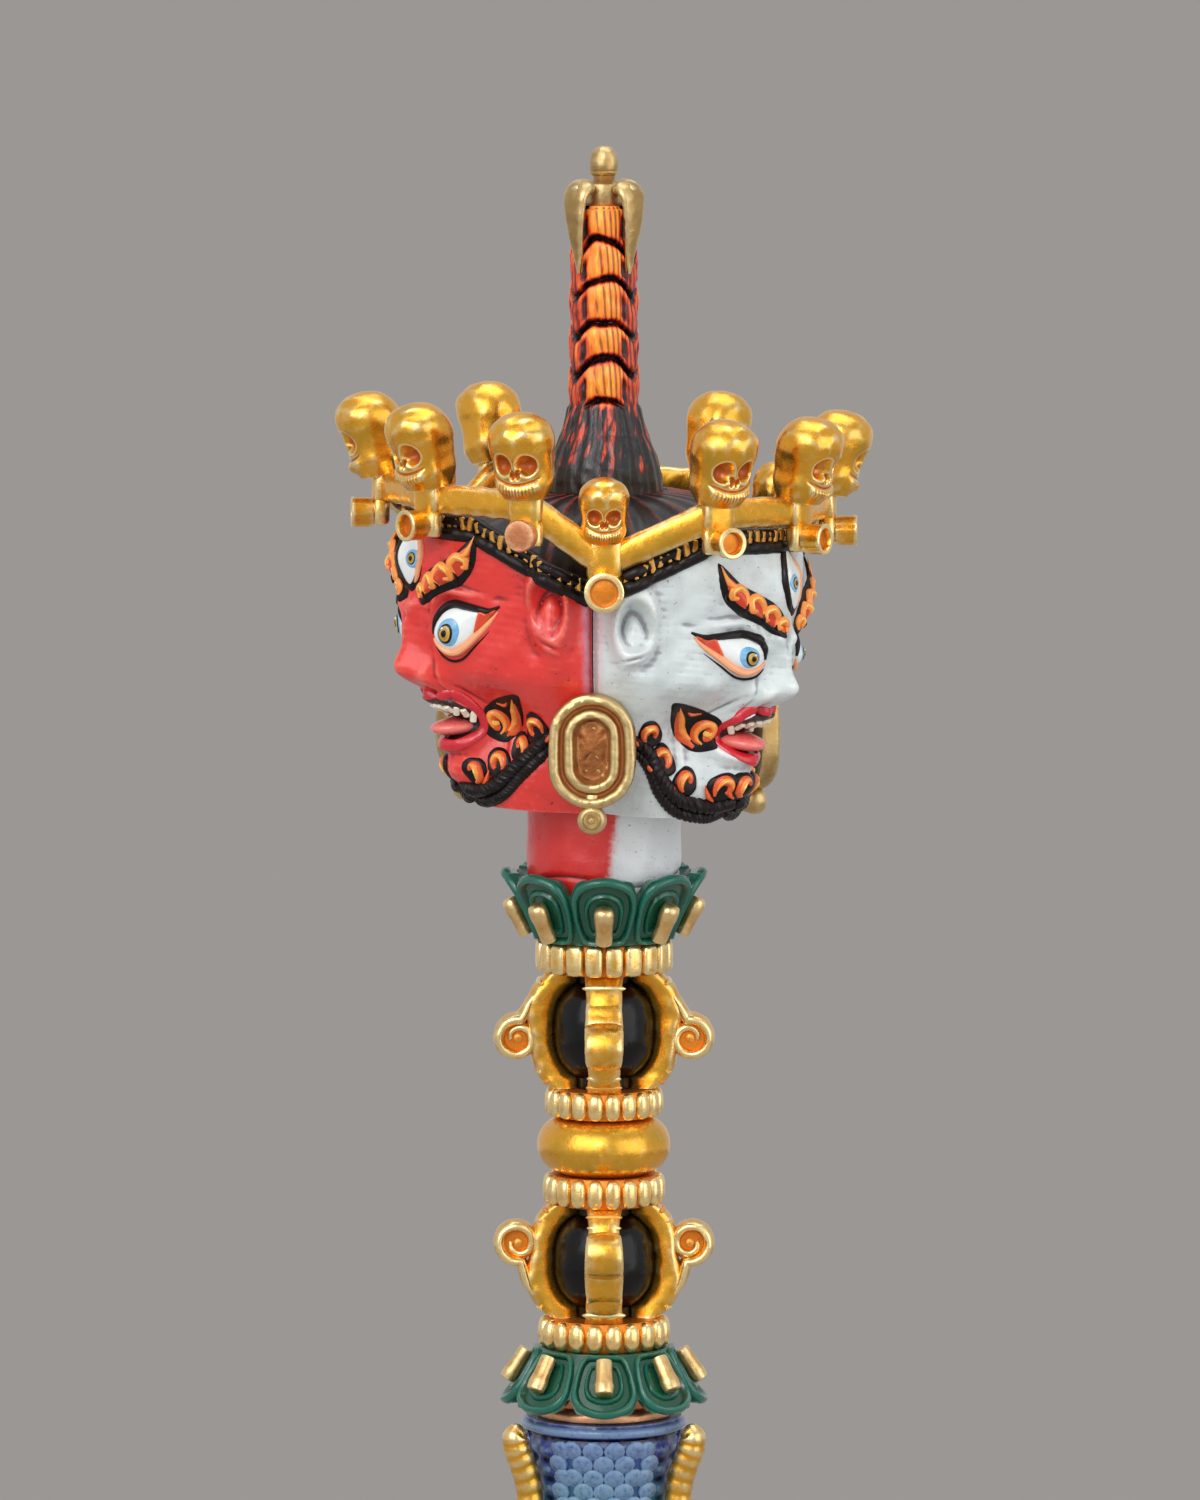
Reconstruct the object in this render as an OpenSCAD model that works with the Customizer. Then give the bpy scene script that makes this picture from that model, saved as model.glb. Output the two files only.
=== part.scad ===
// Phurba: a three-faced ritual dagger whose cast pieces are threaded on one tie rod.
// The origin is the blade's tip and +Z runs up the axis. All lengths are in millimetres.

/* [Blade] */
// Height of the blade from its tip to its flat top
blade_h = 94; // [84:1:104]
// Reach of a blade fin from the axis, before it rounds in at the top
blade_r = 15.4; // [14.4:0.2:16.4]
// Reach of a fin where the makara's mouth holds it
blade_root_r = 12.6; // [12:0.1:13]
// Height over which the fins round in towards the mouth
blade_shoulder = 10; // [6:0.5:14]
// Thickness of a fin along its edge
blade_edge = 0.9; // [0.6:0.1:1.4]
// Reach of the blunt tip from the axis
blade_tip_r = 0.9; // [0.7:0.1:1.2]
// Distance from the axis to the middle of a hollow facet, at the top
blade_web = 4.6; // [4:0.1:5]
// Depth of the tie rod's socket in the blade's top
blade_socket = 14; // [8:1:18]

/* [Nagas] */
// Radius of a snake's body at its thickest
naga_r = 1.05; // [0.8:0.05:1.2]
// Height of one full twist of a pair of snakes
naga_twist = 25; // [20:1:30]
// Height of the snakes' tails above the tip
naga_tail_z = 16; // [12:1:24]
// Drop from the blade's flat top to the snakes' heads
naga_head_drop = 5; // [4:0.5:8]
// Share of the fin's reach that a snake swings to each side
naga_swing = 0.27; // [0.2:0.01:0.3]

/* [Makara body] */
// Thickness of the red gum plate between blade and makara
gum_t = 1.4; // [1:0.1:2]
// Length of a fang below the gum plate
fang_len = 4.2; // [3:0.1:6]
// Radius of a fang at its root
fang_r = 0.8; // [0.6:0.1:1]
// Height of the three-headed makara casting
makara_h = 27; // [25:0.5:29]
// Radius of the scaled panels at the top of the makara
makara_r = 7.9; // [7:0.1:8.2]
// How far the makara draws in at its waist
makara_waist = 1; // [0.6:0.1:1.4]
// Reach of the snouts beyond the panels
snout_reach = 6.4; // [5.6:0.1:7]
// Radius of a trunk at its thickest
trunk_r = 1.35; // [1.1:0.05:1.5]
// Thickness of the copper seat under the lower lotus
seat_t = 1.2; // [0.8:0.1:1.8]
// Radius of the copper seat
seat_r = 6.9; // [6:0.1:7.6]

/* [Lotuses] */
// Number of petals in each lotus
petal_count = 8; // [6:1:10]
// Height of the lower lotus
lower_lotus_h = 5.8; // [5:0.1:7]
// Reach of the lower lotus at its rim
lower_lotus_r = 10.1; // [9.4:0.1:10.6]
// Height of the upper lotus
upper_lotus_h = 7.2; // [6.4:0.1:8]
// Reach of the upper lotus at its rim
upper_lotus_r = 10; // [9.4:0.1:10.6]
// Radius of both lotuses where they meet the bead rings
lotus_hub_r = 6.4; // [6:0.1:6.8]
// Thickness of the petals
petal_t = 1.1; // [0.8:0.1:1.4]
// Radius of the notch between two petals
petal_notch_r = 1.15; // [0.8:0.05:1.4]
// Thickness of the floor in the cup of a lotus
lotus_floor = 1.6; // [1:0.1:2.2]
// Radius of a stamen's shank
stamen_r = 0.7; // [0.5:0.05:0.8]
// Radius of a stamen's round head
stamen_head_r = 0.95; // [0.75:0.05:1.05]
// Length of a stamen from its foot to the middle of its head
stamen_len = 3.2; // [2.4:0.1:3.6]

/* [Vajra grip] */
// Height of bead ring 1, under the upper lotus
ring_1_h = 3.2; // [2.4:0.1:4]
// Reach of bead ring 1
ring_1_r = 6.9; // [6.4:0.1:7.4]
// Height of bead ring 2, above the knob
ring_2_h = 2.8; // [2.2:0.1:3.4]
// Reach of bead ring 2
ring_2_r = 6.0; // [5.8:0.1:6.6]
// Height of bead ring 3, below the knob
ring_3_h = 3.0; // [2.2:0.1:3.6]
// Reach of bead ring 3
ring_3_r = 6.2; // [5.8:0.1:6.8]
// Height of bead ring 4, above the lower lotus
ring_4_h = 3.0; // [2.4:0.1:3.8]
// Reach of bead ring 4
ring_4_r = 6.7; // [6.2:0.1:7.2]
// Number of beads in each ring
bead_count = 20; // [16:1:24]
// Height of the upper cage of prongs
upper_cage_h = 11.8; // [11:0.1:13]
// Height of the lower cage of prongs
lower_cage_h = 11.5; // [11:0.1:13]
// Radius of the black core in each cage
core_r = 5.2; // [4.8:0.1:5.4]
// Reach of a prong's bow from the axis
prong_bow_r = 7.4; // [7:0.1:7.8]
// Width of a prong across the cage
prong_w = 3.6; // [3:0.1:4]
// Radius of the curl on a prong
curl_r = 2.2; // [1.9:0.1:2.4]
// Reach of the curls from the axis
curl_reach = 10.9; // [10.4:0.1:11.4]
// Radius of the dimple in a curl
dimple_r = 0.85; // [0.6:0.05:1.1]
// Height of the knob in the middle of the grip
knob_h = 5.9; // [5:0.1:7]
// Reach of the knob
knob_r = 6.7; // [6.2:0.1:7.4]

/* [Heads] */
// Radius of the neck
neck_r = 7.7; // [7:0.1:7.9]
// Height of the neck from the cup's floor to the chins
neck_h = 12.1; // [11:0.1:14]
// Height of a face from its jaw to its hairline
face_h = 27.9; // [27:0.1:29]
// Radius of the heads at the middle of a face
head_r = 21.2; // [20.4:0.1:21.4]
// Radius of the heads at the junction of two faces
junction_r = 16.2; // [15.6:0.1:16.6]
// Wall of a face shell
face_wall = 3; // [2.4:0.1:3.6]
// How far the hairline dips at the junctions
hair_dip = 6; // [5:0.1:6.4]
// Turn of the three heads against the crown, in degrees
head_turn = -4; // [-6:0.5:2]
// Rise of the heads and the crown towards the red side, for each millimetre across
head_tilt = 0.045; // [0:0.005:0.06]

/* [Earrings] */
// Radius of an earring's round ends
earring_r = 4.3; // [3.8:0.1:4.6]
// Distance between the middles of its round ends
earring_straight = 2.8; // [2:0.1:3.4]
// Thickness of an earring over its rims
earring_t = 2.2; // [1.6:0.1:2.8]
// Width of an earring's rims
earring_rim = 1; // [0.8:0.05:1.1]
// Radius of the bead under an earring
drop_r = 1.45; // [1.1:0.05:1.7]

/* [Crown] */
// Radius of the band at the large skulls
crown_r = 21.9; // [21.7:0.1:22.6]
// Radius of the band at the small junction skulls
crown_junction_r = 19; // [18.8:0.1:19.4]
// Height of the band's bars
band_h = 2.8; // [2.2:0.1:3.2]
// Thickness of the band's bars
band_t = 1.7; // [1.3:0.1:1.8]
// How far the band drops at the junctions
band_dip = 5.3; // [4.8:0.1:5.6]
// Width of a large skull
skull_w = 6.8; // [6.2:0.1:7.2]
// Height of a large skull
skull_h = 8.6; // [8:0.1:9.4]
// Width of a small skull
small_skull_w = 5.2; // [4.6:0.1:5.6]
// Height of a small skull
small_skull_h = 6.5; // [6:0.1:7]
// Outward lean of the skulls, in degrees
skull_lean = 12; // [0:1:14]
// Radius of a jewel cup
cup_r = 1.6; // [1.3:0.05:1.8]
// Length of a jewel cup
cup_len = 2.2; // [1.6:0.1:2.8]
// Wall of a jewel cup
cup_wall = 0.5; // [0.3:0.05:0.7]

/* [Topknot and finial] */
// Rise of the hair cap's middle above the hairline
cap_rise = 3.4; // [3:0.1:4]
// Height of the topknot
topknot_h = 28.5; // [26:0.5:32]
// Radius of the topknot at its foot
topknot_foot_r = 5.8; // [5.2:0.1:6.2]
// Radius of the topknot's plait
topknot_r = 3.1; // [2.9:0.05:3.3]
// Number of tiers in the plait
tier_count = 5; // [4:1:6]
// Height of the finial above the topknot
finial_h = 5.9; // [5.4:0.1:7]
// Radius of the finial's round bud
bud_r = 1.4; // [1.1:0.05:1.6]
// Reach of the finial's claws
claw_reach = 4.6; // [4.4:0.1:5]
// Width of a claw
claw_w = 2.6; // [2:0.1:2.8]
// How far the claws' points hang below the topknot's top
claw_drop = 6.7; // [5:0.1:8]

/* [Tie rod] */
// Radius of the rod that holds the stack together
rod_r = 1.5; // [1.2:0.1:1.6]
// Clearance of the rod in its bores
rod_gap = 0.1; // [0.05:0.05:0.2]
// Clearance between pieces that lie close together
fit_gap = 0.12; // [0.1:0.01:0.2]

/* [Hidden] */
$fn = 48;

// Azimuths of the red, white and blue faces, and of the junction on the left of each
FACE_AZ = [-150, -30, 90];
JUNCTION_AZ = [-90, 30, 150];
third = 120;

// Heights of the stack, from the tip up
z_gum = blade_h;
z_makara = z_gum + gum_t;
z_seat = z_makara + makara_h;
z_lower_lotus = z_seat + seat_t;
z_ring_4 = z_lower_lotus + lower_lotus_h;
z_lower_cage = z_ring_4 + ring_4_h;
z_ring_3 = z_lower_cage + lower_cage_h;
z_knob = z_ring_3 + ring_3_h;
z_ring_2 = z_knob + knob_h;
z_upper_cage = z_ring_2 + ring_2_h;
z_ring_1 = z_upper_cage + upper_cage_h;
z_upper_lotus = z_ring_1 + ring_1_h;
z_neck = z_upper_lotus + lotus_floor;
z_chin = z_neck + neck_h;
z_hair = z_chin + face_h;
z_topknot = z_hair + cap_rise;
z_finial = z_topknot + topknot_h;
z_top = z_finial + finial_h;
bore_r = rod_r + rod_gap;

// The band's height at the large skulls is measured up from the hairline
band_lift = 3.1;
z_band = z_hair + band_lift;

// Rise of the heads and the crown on the red side, towards -X, where they sit askew on the neck
function askew(r, az) = -head_tilt * r * cos(az);

// Azimuth, radius and height of the crown's knuckles; every fourth one is a junction
knuckle_count = 12;
last_knuckle = knuckle_count - 1;
// Hand-set turn of each knuckle in degrees, where the maker placed the skulls unevenly
KNUCKLE_TURN = [0, 0, 0, 0, 0, 0, 0, 0, 0, 4, 9, 10];
function is_junction(k) = k % 4 == 0;
function knuckle_az(k) = -90 + 360 * k / knuckle_count + KNUCKLE_TURN[k];
function knuckle_r(k) = is_junction(k) ? crown_junction_r : crown_r;
function knuckle_z(k) = z_band - (is_junction(k) ? band_dip : 0) + askew(knuckle_r(k), knuckle_az(k));
// The small skulls stand higher over the band, which climbs away on both sides of them
junction_rise = 1.1;
function skull_seat_z(k) = knuckle_z(k) + band_h / 2 + (is_junction(k) ? junction_rise : 0);

function total(v) = [for (x = v) 1] * v;
function bell(x, spread) = exp(-pow(x / spread, 2));
function clamp01(x) = max(0, min(1, x));
function polar(r, az, z) = [r * cos(az), r * sin(az), z];
function unit(v) = v / norm(v);

// Closed solid through a stack of closed rings of points, flat at both ends
module loft(rings) {
    n = len(rings[0]);
    m = len(rings);
    centre_0 = total(rings[0]) / n;
    centre_1 = total(rings[m - 1]) / n;
    points = concat([for (ring = rings) each ring], [centre_0, centre_1]);
    sides = [for (i = [0:m - 2]) for (j = [0:n - 1]) let (k = (j + 1) % n)
        each [[i * n + j, (i + 1) * n + j, (i + 1) * n + k], [i * n + j, (i + 1) * n + k, i * n + k]]];
    foot = [for (j = [0:n - 1]) [j, (j + 1) % n, m * n]];
    head = [for (j = [0:n - 1]) [(m - 1) * n + (j + 1) % n, (m - 1) * n + j, m * n + 1]];
    polyhedron(points, concat(sides, foot, head));
}

// Ring of points square to a path at point p, with the path's heading and a side direction
function tube_ring(p, heading, side, r, sides) =
    let (u = unit(cross(heading, side)), v = cross(unit(heading), u))
    [for (k = [0:sides - 1]) let (f = 360 * k / sides) p + r * (cos(f) * u + sin(f) * v)];

// Round tube through a list of points, with its radius at each point
module tube(path, radii, side, sides) {
    last = len(path) - 1;
    loft([for (i = [0:last])
        let (heading = path[min(i + 1, last)] - path[max(i - 1, 0)])
        tube_ring(path[i], heading, side, radii[i], sides)]);
}

// Band of triangles between a fine row of points and a coarse one
function stitch(fine, coarse, step, flip) =
    [for (j = [0:len(coarse) - 2]) let (mid = j * step + floor(step / 2))
        each concat(
            [for (k = [j * step:mid - 1]) flip ? [fine[k + 1], fine[k], coarse[j]]
                : [fine[k], fine[k + 1], coarse[j]]],
            [flip ? [coarse[j], coarse[j + 1], fine[mid]] : [coarse[j + 1], coarse[j], fine[mid]]],
            [for (k = [mid:(j + 1) * step - 1]) flip ? [fine[k + 1], fine[k], coarse[j + 1]]
                : [fine[k], fine[k + 1], coarse[j + 1]]])];

// Shell between a fine outer sheet and a coarse inner sheet of points, rows from the bottom up
module sheet_shell(outer, inner, step) {
    rows = len(outer) - 1;
    cols = len(outer[0]) - 1;
    in_rows = len(inner) - 1;
    in_cols = len(inner[0]) - 1;
    base = (rows + 1) * (cols + 1);
    function o(i, j) = i * (cols + 1) + j;
    function n(i, j) = base + i * (in_cols + 1) + j;
    skin = [for (i = [0:rows - 1]) for (j = [0:cols - 1])
        each [[o(i, j), o(i + 1, j), o(i + 1, j + 1)], [o(i, j), o(i + 1, j + 1), o(i, j + 1)]]];
    lining = [for (i = [0:in_rows - 1]) for (j = [0:in_cols - 1])
        each [[n(i, j), n(i, j + 1), n(i + 1, j + 1)], [n(i, j), n(i + 1, j + 1), n(i + 1, j)]]];
    fine_cols = [for (j = [0:cols]) j];
    coarse_cols = [for (j = [0:in_cols]) j];
    fine_rows = [for (i = [0:rows]) i];
    coarse_rows = [for (i = [0:in_rows]) i];
    foot = stitch([for (j = fine_cols) o(0, j)], [for (j = coarse_cols) n(0, j)], step, false);
    head = stitch([for (j = fine_cols) o(rows, j)], [for (j = coarse_cols) n(in_rows, j)], step, true);
    left = stitch([for (i = fine_rows) o(i, 0)], [for (i = coarse_rows) n(i, 0)], step, true);
    right = stitch([for (i = fine_rows) o(i, cols)], [for (i = coarse_rows) n(i, in_cols)],
        step, false);
    polyhedron(concat([for (row = outer) each row], [for (row = inner) each row]),
        concat(skin, lining, foot, head, left, right));
}

// Bore for the tie rod through what stands between two heights
module rod_bore(z_low, z_high) {
    translate([0, 0, z_low - 1]) cylinder(r = bore_r, h = z_high - z_low + 2);
}

rod_seat_gap = 0.5;
module tie_rod() {
    color("darkgoldenrod")
        translate([0, 0, blade_h - blade_socket + rod_seat_gap])
            cylinder(r = rod_r, h = z_finial + finial_h / 3 - blade_h + blade_socket - rod_seat_gap);
}

// Reach of the fins at a height, and the distance from the axis to a facet at sideways place s
blade_taper = 0.78;
function fin_r(z) = blade_tip_r + (blade_r - blade_tip_r) * pow(clamp01(z / blade_h), blade_taper)
    - (blade_r - blade_root_r) * pow(clamp01(1 - (blade_h - z) / blade_shoulder), 2);
function facet_end(r) = r * sin(60) - blade_edge / 2 * cos(60);
function facet_edge_d(r) = r * cos(60) + blade_edge / 2 * sin(60);
function facet_mid_d(z) = facet_edge_d(fin_r(z)) * blade_web / facet_edge_d(blade_root_r);
function facet_d(s, z) = let (r = fin_r(z))
    facet_mid_d(z) + (facet_edge_d(r) - facet_mid_d(z)) * pow(s / facet_end(r), 2);
facet_cells = 8;
blade_rows = 20;
module blade() {
    color("gold") difference() {
        loft([for (i = [0:blade_rows]) let (z = blade_h * i / blade_rows, w = facet_end(fin_r(z)))
            [for (az = JUNCTION_AZ) for (k = [0:facet_cells])
                let (s = w * (2 * k / facet_cells - 1), d = facet_d(s, z))
                [d * cos(az) - s * sin(az), d * sin(az) + s * cos(az), z]]]);
        translate([0, 0, blade_h - blade_socket]) cylinder(r = bore_r, h = blade_socket + 1);
    }
}

// A pair of snakes twined on a facet: side is 1 or -1, and each rides over the other in turn
naga_rings = 40;
naga_sides = 8;
naga_tail_share = 0.35;
module naga(az, side) {
    z_high = blade_h - naga_head_drop;
    heights = [for (i = [0:naga_rings]) naga_tail_z + (z_high - naga_tail_z) * i / naga_rings];
    function phase(z) = 360 * (z_high - z) / naga_twist + 90;
    function body_r(z) = let (u = (z - naga_tail_z) / (z_high - naga_tail_z))
        naga_r * (naga_tail_share + (1 - naga_tail_share) * sqrt(u)) * (1 + 0.45 * bell(u - 0.97, 0.025));
    function over(z) = pow(max(0, side * cos(phase(z))), 2);
    function place(z) = let (s = side * naga_swing * fin_r(z) * sin(phase(z)), r = body_r(z),
            d = facet_d(s, z) + r + fit_gap + (2 * r + fit_gap) * over(z))
        [d * cos(az) - s * sin(az), d * sin(az) + s * cos(az), z];
    tube([for (z = heights) place(z)], [for (z = heights) body_r(z)],
        [cos(az), sin(az), 0], naga_sides);
}
module naga_pair(i) {
    color("seagreen") naga(JUNCTION_AZ[i - 1], 1);
    color("gold") naga(JUNCTION_AZ[i - 1], -1);
}

// Outline of the makara at an angle from its nearest snout and a height over its foot
function makara_turn(az) = let (a = (az - FACE_AZ[1]) % third)
    abs(a > 60 ? a - third : a < -60 ? a + third : a);
// Angle and height of each swelling, their spreads, and its lift
MAKARA_SWELLS = [
    [0, 6.6, 17, 3.4, 1.05],
    [0, 0.8, 22, 2.2, 0.8],
    [26, 3.6, 9, 3, 0.25],
    [22, 11.2, 8, 2.3, 0.5],
    [19, 15, 9, 1.3, 0.34],
    [36, 8, 8, 2.6, 0.2]];
// Height and spread of the waist and of the flare at the foot
MAKARA_WAIST = [18.5, 6];
MAKARA_FOOT = [0, 8];
makara_flare = 0.6;
// These heights are drawn for a casting 27 high, and stretched to the real one
makara_up = makara_h / 27;
function makara_outline(az, h) = let (a = makara_turn(az), up = h / makara_up)
    makara_r - makara_waist * bell(up - MAKARA_WAIST[0], MAKARA_WAIST[1])
    + makara_flare * bell(up - MAKARA_FOOT[0], MAKARA_FOOT[1])
    + snout_reach * total([for (s = MAKARA_SWELLS) s[4] * bell(a - s[0], s[2]) * bell(up - s[1], s[3])]);
makara_cols = 60;
makara_rows = 22;
module makara_body() {
    color("steelblue") difference() {
        loft([for (i = [0:makara_rows]) let (h = makara_h * i / makara_rows)
            [for (j = [0:makara_cols - 1]) let (az = 360 * j / makara_cols)
                polar(makara_outline(az, h), az, z_makara + h)]]);
        rod_bore(z_makara, z_seat);
    }
}

// Red gums over the blade's flat top, with a fang on each side of every fin
gum_points = 48;
gum_inset = 0.6;
fang_side = 2.9;
fang_reach = 9;
fang_sunk = 0.3;
fang_point_r = 0.15;
module gum_plate() {
    color("firebrick") difference() {
        translate([0, 0, z_gum]) linear_extrude(gum_t)
            polygon([for (j = [0:gum_points - 1]) let (az = 360 * j / gum_points)
                (makara_outline(az, 0) - gum_inset) * [cos(az), sin(az)]]);
        rod_bore(z_gum, z_makara);
    }
    color("ivory") for (az = FACE_AZ) for (side = [-1, 1]) rotate([0, 0, az])
        translate([fang_reach, side * fang_side, z_gum - fang_len])
            cylinder(r1 = fang_point_r, r2 = fang_r, h = fang_len + fang_sunk);
}

// A trunk climbs from its snout's tip over the brow and bends in under the lotus
trunk_sides = 10;
module makara_trunk(i) {
    // Reach beyond the casting's outline and height over the makara's foot of each bend
    bends = [[0.2, 10.2], [1.2, 11], [1.6, 12.6], [1.4, 14.6], [1.2, 16.8], [1.15, 19], [1.25, 21],
        [1.5, 22.8], [1.8, 24.3], [1.8, 25.6], [1.2, 26.2]];
    shares = [0.6, 0.85, 0.9, 0.92, 0.94, 0.96, 0.98, 1, 1, 0.95, 0.6];
    az = FACE_AZ[i - 1];
    path = [for (b = bends) let (h = b[1] * makara_up)
        polar(makara_outline(az, h) + trunk_r * b[0] + fit_gap, az, z_makara + h)];
    color("gold") tube(path, [for (s = shares) trunk_r * s], [-sin(az), cos(az), 0], trunk_sides);
}

module lotus_seat() {
    color("peru") difference() {
        translate([0, 0, z_seat]) cylinder(r = seat_r, h = seat_t);
        rod_bore(z_seat, z_lower_lotus);
    }
}

// Lotus cup that opens upwards from z = 0, with round notches between its petals
module lotus_cup(h, rim_r) {
    difference() {
        rotate_extrude() polygon([[bore_r, 0], [lotus_hub_r, 0], [rim_r, h], [rim_r - petal_t, h],
            [lotus_hub_r + fit_gap, lotus_floor], [bore_r, lotus_floor]]);
        for (k = [0:petal_count - 1]) rotate([0, 0, -90 + 360 * (k + 0.5) / petal_count])
            translate([lotus_hub_r, 0, h]) rotate([0, 90, 0]) cylinder(r = petal_notch_r, h = rim_r);
    }
}
// Stamens that lean on the outside of a lotus cup
module lotus_stamens(h, rim_r) {
    slope = atan((rim_r - lotus_hub_r) / h);
    foot_up = stamen_r + 0.15;
    for (k = [0:petal_count - 1]) rotate([0, 0, -90 + 360 * k / petal_count])
        translate([lotus_hub_r + foot_up * tan(slope), 0, foot_up]) rotate([0, slope, 0])
            translate([stamen_head_r + fit_gap, 0, 0]) {
                cylinder(r = stamen_r, h = stamen_len);
                translate([0, 0, stamen_len]) sphere(r = stamen_head_r);
            }
}
module lower_lotus() {
    color("seagreen") translate([0, 0, z_ring_4]) mirror([0, 0, 1]) lotus_cup(lower_lotus_h, lower_lotus_r);
}
module lower_stamens() {
    color("gold") translate([0, 0, z_ring_4]) mirror([0, 0, 1]) lotus_stamens(lower_lotus_h, lower_lotus_r);
}
module upper_lotus() {
    color("seagreen") translate([0, 0, z_upper_lotus]) lotus_cup(upper_lotus_h, upper_lotus_r);
}
module upper_stamens() {
    color("gold") translate([0, 0, z_upper_lotus]) lotus_stamens(upper_lotus_h, upper_lotus_r);
}
// Boss inside the lower lotus that fills its cup down to the seat
module lotus_boss() {
    color("seagreen") difference() {
        translate([0, 0, z_lower_lotus]) cylinder(r = lotus_hub_r, h = lower_lotus_h - lotus_floor);
        rod_bore(z_lower_lotus, z_ring_4);
    }
}

// Ring of barrel-shaped beads round a flat hub
bead_space = 0.04;
module bead_ring(z, h, r) {
    s = sin(180 / bead_count);
    bead_r = r * s / (1 + s) - bead_space / 2;
    bevel = bead_r * 0.45;
    color("gold") translate([0, 0, z]) difference() {
        union() {
            cylinder(r = r - bead_r, h = h);
            for (k = [0:bead_count - 1]) rotate([0, 0, 360 * (k + 0.5) / bead_count])
                translate([r - bead_r, 0, 0]) rotate_extrude()
                    polygon([[0, 0], [bead_r - bevel, 0], [bead_r, bevel], [bead_r, h - bevel],
                        [bead_r - bevel, h], [0, h]]);
        }
        translate([0, 0, -1]) cylinder(r = bore_r, h = h + 2);
    }
}

// Half of a full oval's outline, bulging by its power, from its foot to its head
oval_power = 2.5;
oval_steps = 12;
function oval(r, half_h) = [for (i = [-oval_steps:oval_steps]) let (f = 90 * i / oval_steps)
    [r * pow(cos(f), 2 / oval_power), half_h * sign(f) * pow(abs(sin(f)), 2 / oval_power)]];
core_end_r = 2.8;
bow_overshoot = 1.5;
// Black barrel in a cage that starts at z
module cage_core(z, h) {
    color("black") translate([0, 0, z + h / 2]) difference() {
        union() {
            rotate_extrude() polygon(oval(core_r, h / 2 - fit_gap - 0.5));
            cylinder(r = core_end_r, h = h, center = true);
        }
        cylinder(r = bore_r, h = h + 2, center = true);
    }
}
// Prong of a cage at an azimuth, with its curl a little off the cage's middle
module cage_prong(z, h, curl_up, az) {
    curl_x = curl_reach - curl_r;
    color("gold") rotate([0, 0, az]) translate([0, 0, z + h / 2]) difference() {
        rotate([90, 0, 0]) linear_extrude(prong_w, center = true) union() {
            intersection() {
                difference() {
                    polygon(oval(prong_bow_r, h / 2 + bow_overshoot));
                    polygon(oval(core_r + fit_gap, h / 2 - 0.5));
                }
                translate([core_end_r + fit_gap, -h / 2]) square([prong_bow_r, h]);
            }
            translate([curl_x, curl_up]) circle(r = curl_r);
        }
        for (side = [-1, 1]) translate([curl_x, side * prong_w / 2, curl_up]) rotate([90, 0, 0])
            cylinder(r = dimple_r, h = prong_w / 3, center = true);
    }
}
upper_curl_up = -0.8;
lower_curl_up = 1.8;
function prong_az(i) = -90 * i;

module grip_knob() {
    round_r = knob_h / 2;
    color("gold") difference() {
        translate([0, 0, z_knob]) union() {
            cylinder(r = knob_r - round_r, h = knob_h);
            translate([0, 0, round_r]) rotate_extrude() difference() {
                translate([knob_r - round_r, 0]) circle(r = round_r - 0.02);
                translate([-knob_r, -knob_r]) square([knob_r, 2 * knob_r]);
            }
        }
        rod_bore(z_knob, z_ring_2);
    }
}

// The neck stands in the lotus cup, and its post runs up inside the heads
neck_foot_r = 6.3;
post_top_gap = 2;
module neck() {
    z_post = z_chin + face_h - hair_dip - post_top_gap;
    color("indianred") difference() {
        translate([0, 0, z_neck]) rotate_extrude() polygon([[bore_r, 0], [neck_foot_r, 0],
            [neck_r - 0.1, neck_h * 0.45], [neck_r, neck_h * 0.6], [neck_r, z_post - z_neck],
            [bore_r, z_post - z_neck]]);
        rod_bore(z_neck, z_post);
    }
}

// Face relief: angle from the face's middle, height over the chin, their spreads, and the lift
FACE_SWELLS = [
    [0, 12.5, 5, 1.7, 2.3],
    [0, 15.8, 4.2, 2.8, 1.0],
    [8.5, 11.9, 3.6, 1.3, 1.2],
    [0, 22.5, 24, 4.2, 0.8],
    [19, 16.3, 7, 1.9, 0.65],
    [14, 19, 6, 1.3, -0.4],
    [28, 12.2, 9, 2.6, 0.7],
    [0, 2.6, 11, 1.8, 1.3],
    [34, 3.4, 12, 2.4, 0.4],
    [0, 10.2, 12, 0.9, -0.6],
    [0, 8, 26, 4, -0.8],
    [27, 8, 16, 4.6, -4.4],
    [27, 17.5, 17, 8, -2],
    [50, 9, 12, 5, -1.2]];
// Brow, lips and open mouth follow curves over the face
function brow_h(a) = 17.9 + 0.38 * max(0, a - 6);
function upper_lip_h(a) = 9.7 - 1.4 * pow(a / 24, 2);
function lower_lip_h(a) = 5.2 + 3 * pow(a / 24, 2);
function face_relief(a, h) =
    total([for (s = FACE_SWELLS) s[4] * bell(a - s[0], s[2]) * bell(h - s[1], s[3])])
    + 0.9 * bell(h - brow_h(a), 1.3) * bell(a - 15, 9)
    + 1.2 * bell(h - upper_lip_h(a), 0.7) * bell(a, 21)
    + bell(h - lower_lip_h(a), 0.7) * bell(a, 17)
    - 1.6 * bell(h - (upper_lip_h(a) + lower_lip_h(a)) / 2, 1.2) * bell(a, 17)
    + ear_relief(a, h);
// Angle and height of the ear's middle, and its half widths
EAR = [47, 19.4, 6.5, 4.2];
function ear_relief(a, h) = let (e = norm([(a - EAR[0]) / EAR[2], (h - EAR[1]) / EAR[3]]))
    1.2 * bell(e - 0.85, 0.3) - 0.2 * bell(e, 0.45);
// The relief is drawn for a face 27.9 high on a head of radius 21.2, and stretched to the real ones
face_up = face_h / 27.9;
face_out = head_r / 21.2;
// Half of the third that a face takes, and half of the gap at the seam, in degrees
head_half = third / 2;
seam_half = 0.2;
face_span = head_half - seam_half;
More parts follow.
